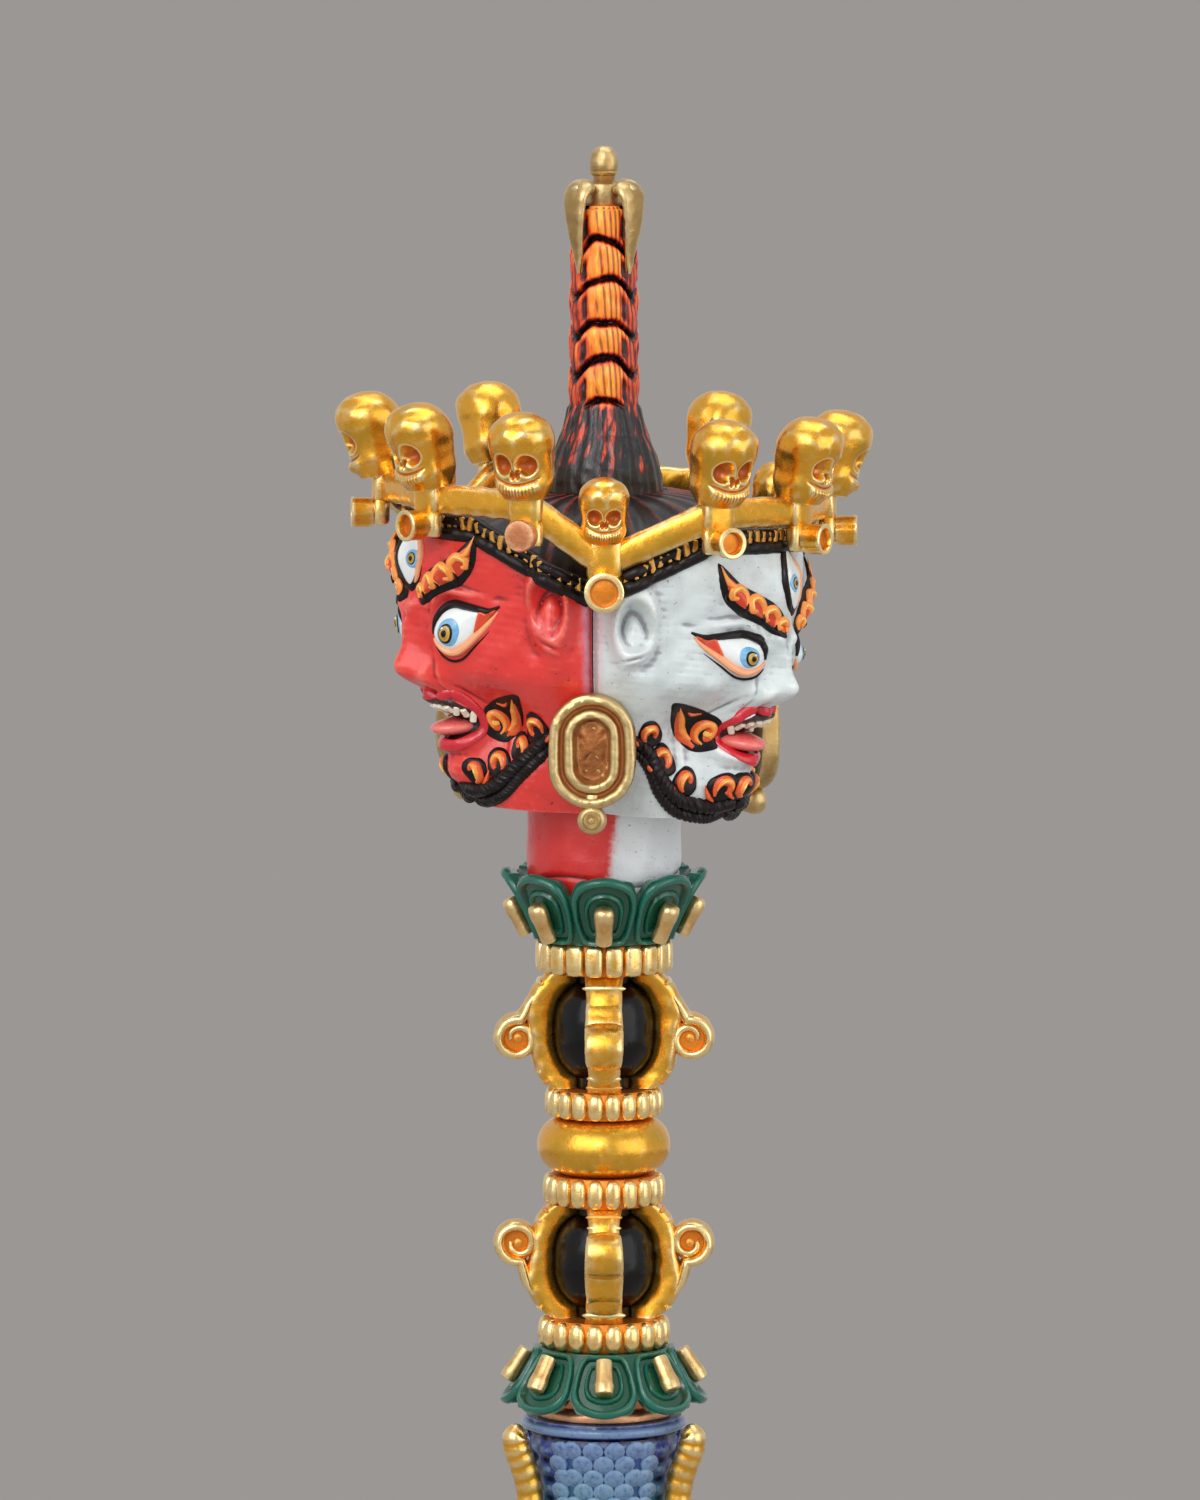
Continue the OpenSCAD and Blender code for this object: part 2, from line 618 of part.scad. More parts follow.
// Radius of a head at an angle from its face's middle and a height over its jaw
feature_rise = 0.8;
cheek_h = 13.5;
jaw_recess = 7.3;
forehead_h = 23.7;
function head_outline(angle, h) = let (a = abs(angle))
    head_r - (head_r - junction_r) * pow(a / head_half, 2.6)
    - jaw_recess * pow(clamp01((cheek_h - h) / cheek_h), 1.1)
    - face_out * 1.3 * pow(max(0, h - forehead_h) / face_up / 5.6, 2)
    + face_out * face_relief(a, (h - feature_rise) / face_up);
function hairline_h(angle) = face_h - hair_dip * clamp01((abs(angle) - 24) / 36);
// The cheeks are drawn in towards the nose: angle where this starts and ends, its most, its height and spread
CHEEK_DRAW = [6, 50, 5, 11, 10];
function drawn_angle(a, h) = let (along = clamp01((abs(a) - CHEEK_DRAW[0]) / (CHEEK_DRAW[1] - CHEEK_DRAW[0])))
    a - sign(a) * CHEEK_DRAW[2] * sin(180 * along) * bell(h / face_up - CHEEK_DRAW[3], CHEEK_DRAW[4]);
// Point on a head at a reach, azimuth and height over the jaw
function head_point(r, az, h) = polar(r, az, z_chin + h + askew(r, az));

face_cols = 36;
face_rows = 32;
face_step = 4;
jaw_rise = 1.4;
module face_shell(az) {
    outer = [for (i = [0:face_rows]) [for (j = [0:face_cols])
        let (a = face_span * (2 * j / face_cols - 1), h = hairline_h(a) * i / face_rows)
        head_point(head_outline(a, h), az + drawn_angle(a, h), h)]];
    in_cols = face_cols / face_step;
    in_rows = face_rows / face_step;
    inner = [for (i = [0:in_rows]) [for (j = [0:in_cols])
        let (a = face_span * (2 * j / in_cols - 1), h = hairline_h(a) * i / in_rows,
            at_neck = (neck_r + fit_gap) / cos(face_span / in_cols),
            r = i == 0 ? at_neck : max(at_neck, min(head_outline(a, h), head_r) - face_wall))
        head_point(r, az + a, i == 0 ? jaw_rise : h)]];
    sheet_shell(outer, inner, face_step);
}
module face_red() {
    color("crimson") face_shell(FACE_AZ[0] + head_turn);
}
module face_white() {
    color("aliceblue") face_shell(FACE_AZ[1] + head_turn);
}
module face_blue() {
    color("royalblue") face_shell(FACE_AZ[2] + head_turn);
}

// Oval plate outline with round ends
module stadium(r) {
    for (end = [-1, 1]) translate([end * earring_straight / 2, 0]) circle(r = r);
    square([earring_straight, 2 * r], center = true);
}
// Earring that hangs at a junction of the heads, flat back against a small pad on the seam
earring_h = 6.9;
earring_pad_r = 1.3;
earring_stand = 2.4;
earring_floor = 0.7;
module earring(i) {
    pad_h = earring_h + earring_r * 0.4;
    seam_r = head_outline(head_half, pad_h);
    back = seam_r + earring_stand;
    az = JUNCTION_AZ[i - 1] + head_turn;
    color("darkkhaki") rotate([0, 0, az]) translate([back, 0, z_chin + askew(back, az)]) {
        translate([0, 0, earring_h]) rotate([0, 90, 0]) {
            linear_extrude(earring_floor) stadium(earring_r);
            linear_extrude(earring_t) difference() {
                stadium(earring_r);
                stadium(earring_r - earring_rim);
            }
            linear_extrude(earring_t * 0.9) difference() {
                stadium(earring_r - 1.8 * earring_rim);
                stadium(earring_r - 2.6 * earring_rim);
            }
        }
        translate([earring_t / 2, 0, earring_h - earring_straight / 2 - earring_r - drop_r * 0.75])
            sphere(r = drop_r);
        translate([fit_gap - earring_stand, 0, pad_h]) rotate([0, 90, 0])
            cylinder(r = earring_pad_r, h = earring_stand - fit_gap + 0.1);
    }
}

// Hair inside the crown: a low dome that stands on the faces' top edges
cap_cols = 60;
cap_foot_r = 11;
cap_top_r = 6.6;
cap_inset = 0.35;
function face_angle(az) = let (a = (az - FACE_AZ[1] - head_turn) % third)
    a > 60 ? a - third : a < -60 ? a + third : a;
function cap_edge_r(az) = let (a = face_angle(az)) head_outline(a, hairline_h(a)) - cap_inset;
function cap_edge_z(r, az) = z_chin + hairline_h(face_angle(az)) + fit_gap + askew(r, az);
// A ring of the dome, from its edge at u = 0 to its flat top at u = 1
function cap_ring(u) = [for (j = [0:cap_cols - 1]) let (az = 360 * j / cap_cols,
        edge_r = cap_edge_r(az), edge_z = cap_edge_z(edge_r, az),
        z = edge_z + (z_topknot - edge_z) * sin(90 * pow(u, 0.75)))
    polar(edge_r + (cap_top_r - edge_r) * u, az, z)];
cap_foot_rise = 1.2;
module hair_cap() {
    z_foot = z_hair - hair_dip + cap_foot_rise;
    foot = [for (j = [0:cap_cols - 1]) polar(cap_foot_r, 360 * j / cap_cols, z_foot)];
    lip = [for (j = [0:cap_cols - 1]) let (az = 360 * j / cap_cols, r = cap_edge_r(az) - face_wall / 2)
        polar(r, az, cap_edge_z(r, az))];
    color("black") difference() {
        loft(concat([foot, lip], [for (u = [0, 0.06, 0.14, 0.3, 0.55, 1]) cap_ring(u)]));
        rod_bore(z_hair - hair_dip, z_topknot);
    }
}

// Straight bar of the band between two knuckles
module band_bar(p, q) {
    run = q - p;
    flat_run = norm([run[0], run[1]]);
    translate(p) rotate([0, 0, atan2(run[1], run[0])]) rotate([0, -atan2(run[2], flat_run), 0])
        translate([0, -band_t / 2, -band_h / 2]) cube([norm(run), band_t, band_h]);
}
knuckle_w = 3;
knuckle_front = 1.2;
knuckle_back = 0.3;
knuckle_drop = 2.5;
module crown_band() {
    color("gold") union() {
        for (k = [0:last_knuckle]) {
            k_next = (k + 1) % knuckle_count;
            band_bar(polar(knuckle_r(k), knuckle_az(k), knuckle_z(k)),
                polar(knuckle_r(k_next), knuckle_az(k_next), knuckle_z(k_next)));
        }
        for (k = [0:last_knuckle]) let (z_low = knuckle_z(k) - band_h / 2 - knuckle_drop)
            rotate([0, 0, knuckle_az(k)]) translate([knuckle_r(k) - knuckle_back, -knuckle_w / 2, z_low])
                cube([knuckle_front + knuckle_back, knuckle_w, skull_seat_z(k) - z_low]);
    }
}

// Skull that leans outwards along +X from a flat seat at z = 0
module skull(w, h) {
    brain_r = w / 2;
    jaw_r = w * 0.34;
    difference() {
        rotate([0, skull_lean, 0]) difference() {
            union() {
                translate([0, 0, h - brain_r]) sphere(r = brain_r);
                translate([w * 0.05, 0, -w / 4])
                    cylinder(r1 = jaw_r * 0.85, r2 = jaw_r * 1.3, h = h - brain_r + w / 4);
            }
            for (side = [-1, 1]) translate([brain_r * 0.86, side * w * 0.2, h - w * 0.6])
                sphere(r = w * 0.14);
            translate([jaw_r * 1.2 + w * 0.05, 0, h - w * 0.83]) sphere(r = w * 0.07);
        }
        translate([-w, -w, -2 * w]) cube([2 * w, 2 * w, 2 * w]);
    }
}
module skull_at(k, w, h) {
    rotate([0, 0, knuckle_az(k)]) translate([knuckle_r(k) + knuckle_front / 2, 0, skull_seat_z(k)])
        skull(w, h);
}
module skulls_white() {
    color("gold") for (k = [1:3]) skull_at(k, skull_w, skull_h);
}
module skulls_blue() {
    color("gold") for (k = [5:7]) skull_at(k, skull_w, skull_h);
}
module skulls_red() {
    color("gold") for (k = [9:11]) skull_at(k, skull_w, skull_h);
}
module junction_skulls() {
    color("gold") for (k = [0, 4, 8]) skull_at(k, small_skull_w, small_skull_h);
}
module jewel_cups() {
    color("darkgoldenrod") for (k = [0:last_knuckle])
        rotate([0, 0, knuckle_az(k)])
            translate([knuckle_r(k) + knuckle_front, 0, knuckle_z(k) - band_h / 2 - cup_r * 0.8])
                rotate([0, 90, 0]) difference() {
                    cylinder(r = cup_r, h = cup_len);
                    translate([0, 0, cup_len * 0.45]) cylinder(r = cup_r - cup_wall, h = cup_len);
                }
}

// Bound hair: a cone that narrows into a plait of flared tiers
foot_share = 0.3;
tier_flare = 0.35;
module topknot() {
    z_plait = topknot_h * foot_share;
    tier_h = (topknot_h - z_plait) / tier_count;
    cone = [[topknot_foot_r, 0], [topknot_foot_r - 0.2, z_plait * 0.3], [topknot_r + 1.2, z_plait * 0.68],
        [topknot_r + 0.45, z_plait]];
    tiers = [for (t = [0:tier_count - 1]) let (z = z_plait + t * tier_h, r = topknot_r - 0.06 * t)
        each [[r + tier_flare, z + 0.12 * tier_h], [r, z + 0.55 * tier_h], [r - 0.15, z + tier_h]]];
    color("orangered") difference() {
        translate([0, 0, z_topknot]) rotate_extrude()
            polygon(concat([[0, 0]], cone, tiers, [[0, topknot_h]]));
        rod_bore(z_topknot, z_finial);
    }
}

// Round bud on a waisted hub that closes the stack
hub_r = 1.9;
module finial_hub() {
    color("darkkhaki") difference() {
        translate([0, 0, z_finial]) rotate_extrude() polygon([[0, 0], [hub_r, 0], [hub_r, finial_h * 0.36],
            [bud_r * 0.75, finial_h * 0.42], [bud_r, finial_h * 0.56], [bud_r, finial_h * 0.78],
            [bud_r * 0.72, finial_h * 0.95], [0, finial_h]]);
        translate([0, 0, z_finial - 1]) cylinder(r = bore_r, h = finial_h / 3 + 1 + rod_gap);
    }
}
// Claw that grows from the hub, rounds its shoulder and comes down to a point beside the hair
module finial_claw(i) {
    in_r = topknot_r + tier_flare + fit_gap;
    color("darkkhaki") rotate([0, 0, 90 * i - 45]) translate([0, 0, z_finial]) rotate([90, 0, 0])
        linear_extrude(claw_w, center = true) polygon([[hub_r + fit_gap, fit_gap], [in_r, fit_gap],
            [in_r + 0.1, -claw_drop * 0.6], [in_r - 0.1, -claw_drop], [claw_reach - 0.5, -claw_drop * 0.55],
            [claw_reach, -claw_drop * 0.15], [claw_reach, finial_h * 0.12],
            [claw_reach - 0.4, finial_h * 0.3],
            [hub_r + 1.2, finial_h * 0.4], [hub_r + fit_gap, finial_h * 0.36]]);
}

tie_rod();
blade();
for (i = [1:3]) naga_pair(i);
gum_plate();
makara_body();
for (i = [1:3]) makara_trunk(i);
lotus_seat();
union() {
    lower_lotus();
    lotus_boss();
}
lower_stamens();
bead_ring(z_ring_4, ring_4_h, ring_4_r);  // bead_ring_4
for (i = [1:4]) cage_prong(z_lower_cage, lower_cage_h, lower_curl_up, prong_az(i));
cage_core(z_lower_cage, lower_cage_h);  // lower_core
bead_ring(z_ring_3, ring_3_h, ring_3_r);  // bead_ring_3
grip_knob();
bead_ring(z_ring_2, ring_2_h, ring_2_r);  // bead_ring_2
for (i = [1:4]) cage_prong(z_upper_cage, upper_cage_h, upper_curl_up, prong_az(i));
cage_core(z_upper_cage, upper_cage_h);  // upper_core
bead_ring(z_ring_1, ring_1_h, ring_1_r);  // bead_ring_1
upper_lotus();
upper_stamens();
neck();
face_red();
face_white();
face_blue();
for (i = [1:3]) earring(i);
hair_cap();
crown_band();
skulls_red();
skulls_white();
skulls_blue();
junction_skulls();
jewel_cups();
topknot();
finial_hub();
for (i = [1:4]) finial_claw(i);
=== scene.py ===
"""Dresses the phurba: painted heads, skull crown, topknot, vajra grip, lotuses, makara and blade.

Shapes are worked out in millimetres and degrees in the part's own frame, then cast as meshes in metres.
A place is a reach r, an azimuth az and a height z; on a head it is an angle a from the middle of the
face and a height h from the jaw, and m is the angle to either side.
"""
import math

import bmesh
import bpy
import numpy as np
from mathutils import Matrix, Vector


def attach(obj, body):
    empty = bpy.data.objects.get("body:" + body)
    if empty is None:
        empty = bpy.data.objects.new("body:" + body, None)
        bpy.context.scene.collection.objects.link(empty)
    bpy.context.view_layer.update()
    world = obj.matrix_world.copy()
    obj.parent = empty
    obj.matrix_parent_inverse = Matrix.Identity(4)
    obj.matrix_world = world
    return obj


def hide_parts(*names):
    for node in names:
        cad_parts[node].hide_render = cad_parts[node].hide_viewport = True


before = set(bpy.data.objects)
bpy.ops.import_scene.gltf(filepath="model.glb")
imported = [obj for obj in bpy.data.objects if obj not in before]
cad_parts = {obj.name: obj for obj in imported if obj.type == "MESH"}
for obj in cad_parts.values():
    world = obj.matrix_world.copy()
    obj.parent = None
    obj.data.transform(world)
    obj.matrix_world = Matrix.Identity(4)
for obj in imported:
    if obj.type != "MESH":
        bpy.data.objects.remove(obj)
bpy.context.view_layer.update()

MM = 0.001

# Places, as in the part's source
Z_GUM, Z_MAKARA, Z_SEAT = 94.0, 95.4, 122.4
Z_RING_4, Z_LOWER_CAGE, Z_RING_3 = 129.4, 132.4, 143.9
Z_KNOB, Z_RING_2, Z_UPPER_CAGE, Z_RING_1 = 146.9, 152.8, 155.6, 167.4
Z_UPPER_LOTUS, Z_NECK, Z_CHIN, Z_BAND = 170.6, 172.2, 184.3, 215.3
Z_TOPKNOT, Z_FINIAL = 215.6, 244.1
FACE_AZ = {"red": -150.0, "white": -30.0, "blue": 90.0}
JUNCTION_AZ = (-90.0, 30.0, 150.0)
HEAD_TURN = -4.0
FACE_H, HEAD_HALF, FACE_DROP, HEAD_TILT = 27.9, 60.0, 0.8, 0.045
FACE_MM = 0.36  # millimetres across a face for each degree
BORE, LOTUS_FOOT = 1.7, 6.4
UPPER_CAGE, LOWER_CAGE = 11.8, 11.5
# Each ring: foot, height, reach and how square its beads are. Each cage: foot, height and the height of its
# scrolls. Each lotus: foot, height, reach and whether it hangs.
BEAD_RINGS = ((Z_RING_1, 3.2, 6.9, 4.5), (Z_RING_2, 2.8, 6.0, 2.8), (Z_RING_3, 3.0, 6.2, 2.8),
              (Z_RING_4, 3.0, 6.7, 2.5))
CAGES = (("upper", Z_UPPER_CAGE, UPPER_CAGE, 5.1), ("lower", Z_LOWER_CAGE, LOWER_CAGE, 3.95))
LOTUSES = (("upper", Z_UPPER_LOTUS, 7.2, 10.0, False), ("lower", Z_RING_4, 5.8, 10.1, True))


# Shaping tools
def cosd(angle):
    return np.cos(np.radians(angle))


def sind(angle):
    return np.sin(np.radians(angle))


def round_about(count):
    """The angles of count even steps round a circle."""
    return np.arange(count) * 2 * math.pi / count


def polar(r, az, z):
    """Points at a reach, an azimuth and a height."""
    az = np.radians(az)
    return np.stack(np.broadcast_arrays(r * np.cos(az), r * np.sin(az), z), axis=-1).astype(float)


def bell(x, width):
    """1 at 0, 0.37 at the width, next to nothing at twice the width."""
    return np.exp(-np.square(x / width))


def share(x, low, high):
    """0 below low, 1 above high, smooth between."""
    t = np.clip((x - low) / (high - low), 0, 1)
    return t * t * (3 - 2 * t)


def unit(vectors):
    return vectors / np.maximum(np.linalg.norm(vectors, axis=-1, keepdims=True), 1e-12)


def ripple(points, size, seed):
    """Hand-made unevenness from -1 to 1 with humps about size across, the same on every run."""
    dice = np.random.default_rng(seed)
    total = 0.0
    for _ in range(7):
        way = unit(dice.normal(size=3)) * 2 * math.pi / size * dice.uniform(0.6, 1.3)
        total = total + np.sin(np.asarray(points) @ way + dice.uniform(0, 6.28))
    return total / 4.5


def smooth_path(points, count):
    """A path of count points that runs smoothly through the given ones."""
    p = np.asarray(points, float)
    p = np.concatenate([[2 * p[0] - p[1]], p, [2 * p[-1] - p[-2]]])
    t = np.linspace(0, len(p) - 3, count)
    i = np.minimum(t.astype(int), len(p) - 4)
    f = (t - i)[:, None]
    a, b, c, d = p[i], p[i + 1], p[i + 2], p[i + 3]
    return 0.5 * (2 * b + (c - a) * f + (2 * a - 5 * b + 4 * c - d) * f ** 2
                  + (3 * b - a - 3 * c + d) * f ** 3)


def closed_path(outline, steps):
    """A smooth closed loop through the outline's points, with so many steps to each."""
    p = np.asarray(outline, float)
    p = np.concatenate([p[-2:], p, p[:3]])
    return smooth_path(p, (len(p) - 1) * steps + 1)[2 * steps:-2 * steps - 1]


def oval(count, power):
    """A closed section of reach 1, squarer as the power grows."""
    t = round_about(count)
    c, s = np.cos(t), np.sin(t)
    return np.sign(c) * np.abs(c) ** (2 / power), np.sign(s) * np.abs(s) ** (2 / power)


def bar_rings(path, up, wide, tall, power, around):
    """Rings of a bar along a path: wide to each side, tall along up."""
    path = np.asarray(path, float)
    along = unit(np.gradient(path, axis=0))
    side = unit(np.cross(along, np.broadcast_to(up, path.shape)))
    lift = np.cross(side, along)
    x, y = oval(around, power)
    wide = np.broadcast_to(wide, len(path))[:, None, None]
    tall = np.broadcast_to(tall, len(path))[:, None, None]
    return path[:, None] + side[:, None] * x[None, :, None] * wide + lift[:, None] * y[None, :, None] * tall


def wheel(profile, count, stretch, at=(0, 0, 0)):
    """Rings round the X axis from (reach, out) pairs; stretch works on out."""
    t = round_about(count)
    return [np.stack([np.full(count, out * stretch), r * np.cos(t), r * np.sin(t)], -1) + at
            for r, out in profile]


def turned(points, az):
    """Points turned round the object's axis."""
    a = math.radians(az)
    c, s = math.cos(a), math.sin(a)
    return np.asarray(points) @ np.array([[c, s, 0], [-s, c, 0], [0, 0, 1]])


class Shape:
    """The points and faces of one piece, each face with its finish, each point with its marks."""

    def __init__(self):
        self.points, self.corners, self.sizes, self.finish_of, self.finishes = [], [], [], [], []
        self.marks, self.count = {}, 0

    def add(self, points, faces, finish, **marks):
        points = np.asarray(points, float).reshape(-1, 3)
        if finish not in self.finishes:
            self.finishes.append(finish)
        which = self.finishes.index(finish)
        for group in faces:
            group = np.asarray(group)
            self.corners.append(group.ravel() + self.count)
            self.sizes.append(np.full(len(group), group.shape[1]))
            self.finish_of.append(np.full(len(group), which))
        for name, value in marks.items():
            value = np.broadcast_to(np.asarray(value, float).ravel() if np.ndim(value) else value,
                                    len(points))
            self.marks.setdefault(name, []).append((self.count, value))
        self.points.append(points)
        self.count += len(points)

    def loft(self, rings, finish, **marks):
        """A skin over rings of points, with flat ends."""
        rings = np.asarray(rings, float)
        n, m = rings.shape[:2]
        row, col = np.meshgrid(np.arange(n - 1), np.arange(m), indexing="ij")
        a, b = row * m + col, row * m + (col + 1) % m
        self.add(rings, [np.stack([a, b, b + m, a + m], -1).reshape(-1, 4), np.arange(m)[None, ::-1],
                         (np.arange(m) + (n - 1) * m)[None]], finish, **marks)

    def lathe(self, profile, finish, around=72, rough=0.0, grain=3.0, seed=1, **marks):
        """A turned form from (reach, height) pairs, rough by hand where asked."""
        profile = np.asarray(profile, float)
        az = np.arange(around) * 360.0 / around
        rings = polar(profile[:, :1], az[None], profile[:, 1:])
        if rough:
            rings = rings + polar(ripple(rings, grain, seed) * rough, az[None], 0)
        self.loft(rings, finish, **marks)


def linked(name, data):
    """A new object of this data in the scene."""
    made = bpy.data.objects.new(name, data)
    bpy.context.scene.collection.objects.link(made)
    return made


def fetched(items, field, kind, width=1):
    """One field of many items, as rows of width numbers."""
    values = np.empty(len(items) * width, kind)
    items.foreach_get(field, values)
    return values.reshape(-1, width) if width > 1 else values


def cast(shape, name, slot, *nodes, crease=40.0, blur=2):
    """Makes the piece: a mesh in metres that rides on the body and stands for its CAD nodes."""
    points = np.concatenate(shape.points)
    corners, sizes = np.concatenate(shape.corners), np.concatenate(shape.sizes)
    mesh = bpy.data.meshes.new(name)
    mesh.vertices.add(len(points))
    mesh.vertices.foreach_set("co", (points * MM).astype(np.float32).ravel())
    mesh.loops.add(len(corners))
    mesh.loops.foreach_set("vertex_index", corners.astype(np.int32))
    mesh.polygons.add(len(sizes))
    mesh.polygons.foreach_set("loop_start", np.concatenate([[0], np.cumsum(sizes)[:-1]]).astype(np.int32))
    mesh.polygons.foreach_set("material_index", np.concatenate(shape.finish_of).astype(np.int32))
    mesh.update(calc_edges=True)
    mesh.validate()
    work = bmesh.new()
    work.from_mesh(mesh)
    bmesh.ops.recalc_face_normals(work, faces=work.faces)
    work.to_mesh(mesh)
    work.free()
    mesh.polygons.foreach_set("use_smooth", np.ones(len(mesh.polygons), bool))
    mesh.set_sharp_from_angle(angle=math.radians(crease))
    for finish in shape.finishes:
        mesh.materials.append(finish)
    # The hollow mark, from curvature plus any extra a part is given, drives painted shade in hollows and a
    # painted highlight on edges.
    marks = {"hollow": np.clip(hollows(mesh, blur), -1, 1)}
    for mark, parts in shape.marks.items():
        values = np.zeros(len(points))
        for start, part in parts:
            values[start:start + len(part)] = part
        marks[mark] = np.clip(marks["hollow"] + values, -1, 1) if mark == "hollow" else values
    for mark, values in marks.items():
        layer = mesh.attributes.new(mark, "FLOAT", "POINT")
        layer.data.foreach_set("value", values.astype(np.float32))
    piece = linked(name, mesh)
    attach(piece, "root")
    if nodes:
        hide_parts(*nodes)
    return piece


def hollows(mesh, blur):
    """How far each point lies in a hollow, from its neighbours: above 0 in one, below 0 on an edge."""
    count = len(mesh.vertices)
    co = fetched(mesh.vertices, "co", np.float32, 3) / MM
    normal = fetched(mesh.vertex_normals, "vector", np.float32, 3)
    a, b = fetched(mesh.edges, "vertices", np.int32, 2).T
    way = co[b] - co[a]
    span = np.maximum((way ** 2).sum(1), 0.0025)
    total = np.bincount(a, 2 * (normal[a] * way).sum(1) / span, count)
    total += np.bincount(b, -2 * (normal[b] * way).sum(1) / span, count)
    near = np.maximum(np.bincount(a, minlength=count) + np.bincount(b, minlength=count), 1)
    value = np.tanh(total / near * 0.8)
    for _ in range(blur):
        spread = np.bincount(a, value[b], count) + np.bincount(b, value[a], count)
        value = 0.5 * value + 0.5 * spread / near
    return value


# Geometry Nodes: settings and cords
def add_node(tree, kind, settings, sockets):
    """Adds a node: its settings first, then the values or links of its sockets."""
    made = tree.nodes.new(kind)
    for label, setting in settings.items():
        setattr(made, label, setting)
    for place, value in sockets.items():
        if isinstance(value, bpy.types.NodeSocket):
            tree.links.new(value, made.inputs[place])
        else:
            made.inputs[place].default_value = value
    return made


def new_tree(name, inputs):
    """A geometry tree with its named inputs."""
    tree = bpy.data.node_groups.new(name, "GeometryNodeTree")
    for label, kind in {"Geometry": "Geometry", **inputs}.items():
        tree.interface.new_socket(label, in_out="INPUT", socket_type="NodeSocket" + kind)
    tree.interface.new_socket("Geometry", in_out="OUTPUT", socket_type="NodeSocketGeometry")
    return tree, tree.nodes.new("NodeGroupInput").outputs


def named(tree, label, kind):
    """Reads a point attribute by its name."""
    return add_node(tree, "GeometryNodeInputNamedAttribute", {"data_type": kind},
                    {"Name": label}).outputs["Attribute"]


def finish_tree(tree, geometry, start):
    """Ends a tree in Realize Instances and Set Material."""
    solid = add_node(tree, "GeometryNodeRealizeInstances", {}, {"Geometry": geometry})
    paint = add_node(tree, "GeometryNodeSetMaterial", {},
                     {"Geometry": solid.outputs[0], "Material": start["Finish"]})
    add_node(tree, "NodeGroupOutput", {}, {0: paint.outputs[0]})
    return tree


def setting_tree():
    """Sets one unit on every point, turned and sized by the point's own marks."""
    tree, start = new_tree("Setting", {"Unit": "Object", "Size": "Float", "Finish": "Material"})
    unit_in = add_node(tree, "GeometryNodeObjectInfo", {}, {"Object": start["Unit"]})
    turn = add_node(tree, "FunctionNodeEulerToRotation", {}, {0: named(tree, "turn", "FLOAT_VECTOR")})
    size = add_node(tree, "ShaderNodeVectorMath", {"operation": "SCALE"},
                    {0: named(tree, "grow", "FLOAT_VECTOR"), "Scale": start["Size"]})
    place = add_node(tree, "GeometryNodeInstanceOnPoints", {}, {
        "Points": start["Geometry"], "Instance": unit_in.outputs["Geometry"],
        "Rotation": turn.outputs[0], "Scale": size.outputs[0]})
    return finish_tree(tree, place.outputs[0], start)


def cord_tree():
    """Runs a round cord along the edges of a path, as thick at each point as its mark says."""
    tree, start = new_tree("Cord", {"Sides": "Int", "Size": "Float", "Finish": "Material"})
    path = add_node(tree, "GeometryNodeMeshToCurve", {}, {0: start["Geometry"]})
    ring = add_node(tree, "GeometryNodeCurvePrimitiveCircle", {},
                    {"Radius": 1.0, "Resolution": start["Sides"]})
    thick = add_node(tree, "ShaderNodeMath", {"operation": "MULTIPLY"},
                     {0: named(tree, "thick", "FLOAT"), 1: start["Size"]})
    skin = add_node(tree, "GeometryNodeCurveToMesh", {},
                    {"Curve": path.outputs[0], "Profile Curve": ring.outputs[0], "Scale": thick.outputs[0],
                     "Fill Caps": True})
    return finish_tree(tree, skin.outputs[0], start)


SETTING, CORD = setting_tree(), cord_tree()


def grown(seed_mesh, tree, finish, shape, marks, values):
    """Evaluates a tree on a seed mesh and adds its plain result to the shape."""
    seed = linked("seed", seed_mesh)
    growth = seed.modifiers.new("growth", "NODES")
    growth.node_group = tree
    for item in tree.interface.items_tree:
        if item.in_out == "INPUT" and item.name in values:
            growth[item.identifier] = values[item.name]
    graph = bpy.context.evaluated_depsgraph_get()
    mesh = bpy.data.meshes.new_from_object(seed.evaluated_get(graph))
    points = fetched(mesh.vertices, "co", np.float32, 3)
    corners = fetched(mesh.loops, "vertex_index", np.int32)
    sizes, starts = (fetched(mesh.polygons, field, np.int32) for field in ("loop_total", "loop_start"))
    faces = [corners[starts[sizes == k][:, None] + np.arange(k)] for k in np.unique(sizes)]
    shape.add(points, faces, finish, **marks)
    seed.modifiers.clear()
    bpy.data.objects.remove(seed)
    bpy.data.meshes.remove(mesh)


def turns_of(out, up):
    """The turns that take a unit's X to out and its Z near to up."""
    x = unit(np.asarray(out, float))
    y = unit(np.cross(np.broadcast_to(up, x.shape), x))
    z = np.cross(x, y)
    return np.stack([np.arctan2(y[:, 2], z[:, 2]), np.arcsin(np.clip(-x[:, 2], -1, 1)),
                     np.arctan2(x[:, 1], x[:, 0])], -1)


def facing(az, lean=0.0, tip=0.0):
    """The turns of units that face out at an azimuth; lean and tip are in radians."""
    return np.stack([tip + 0.0 * az, lean + 0.0 * az, np.radians(az)], -1)


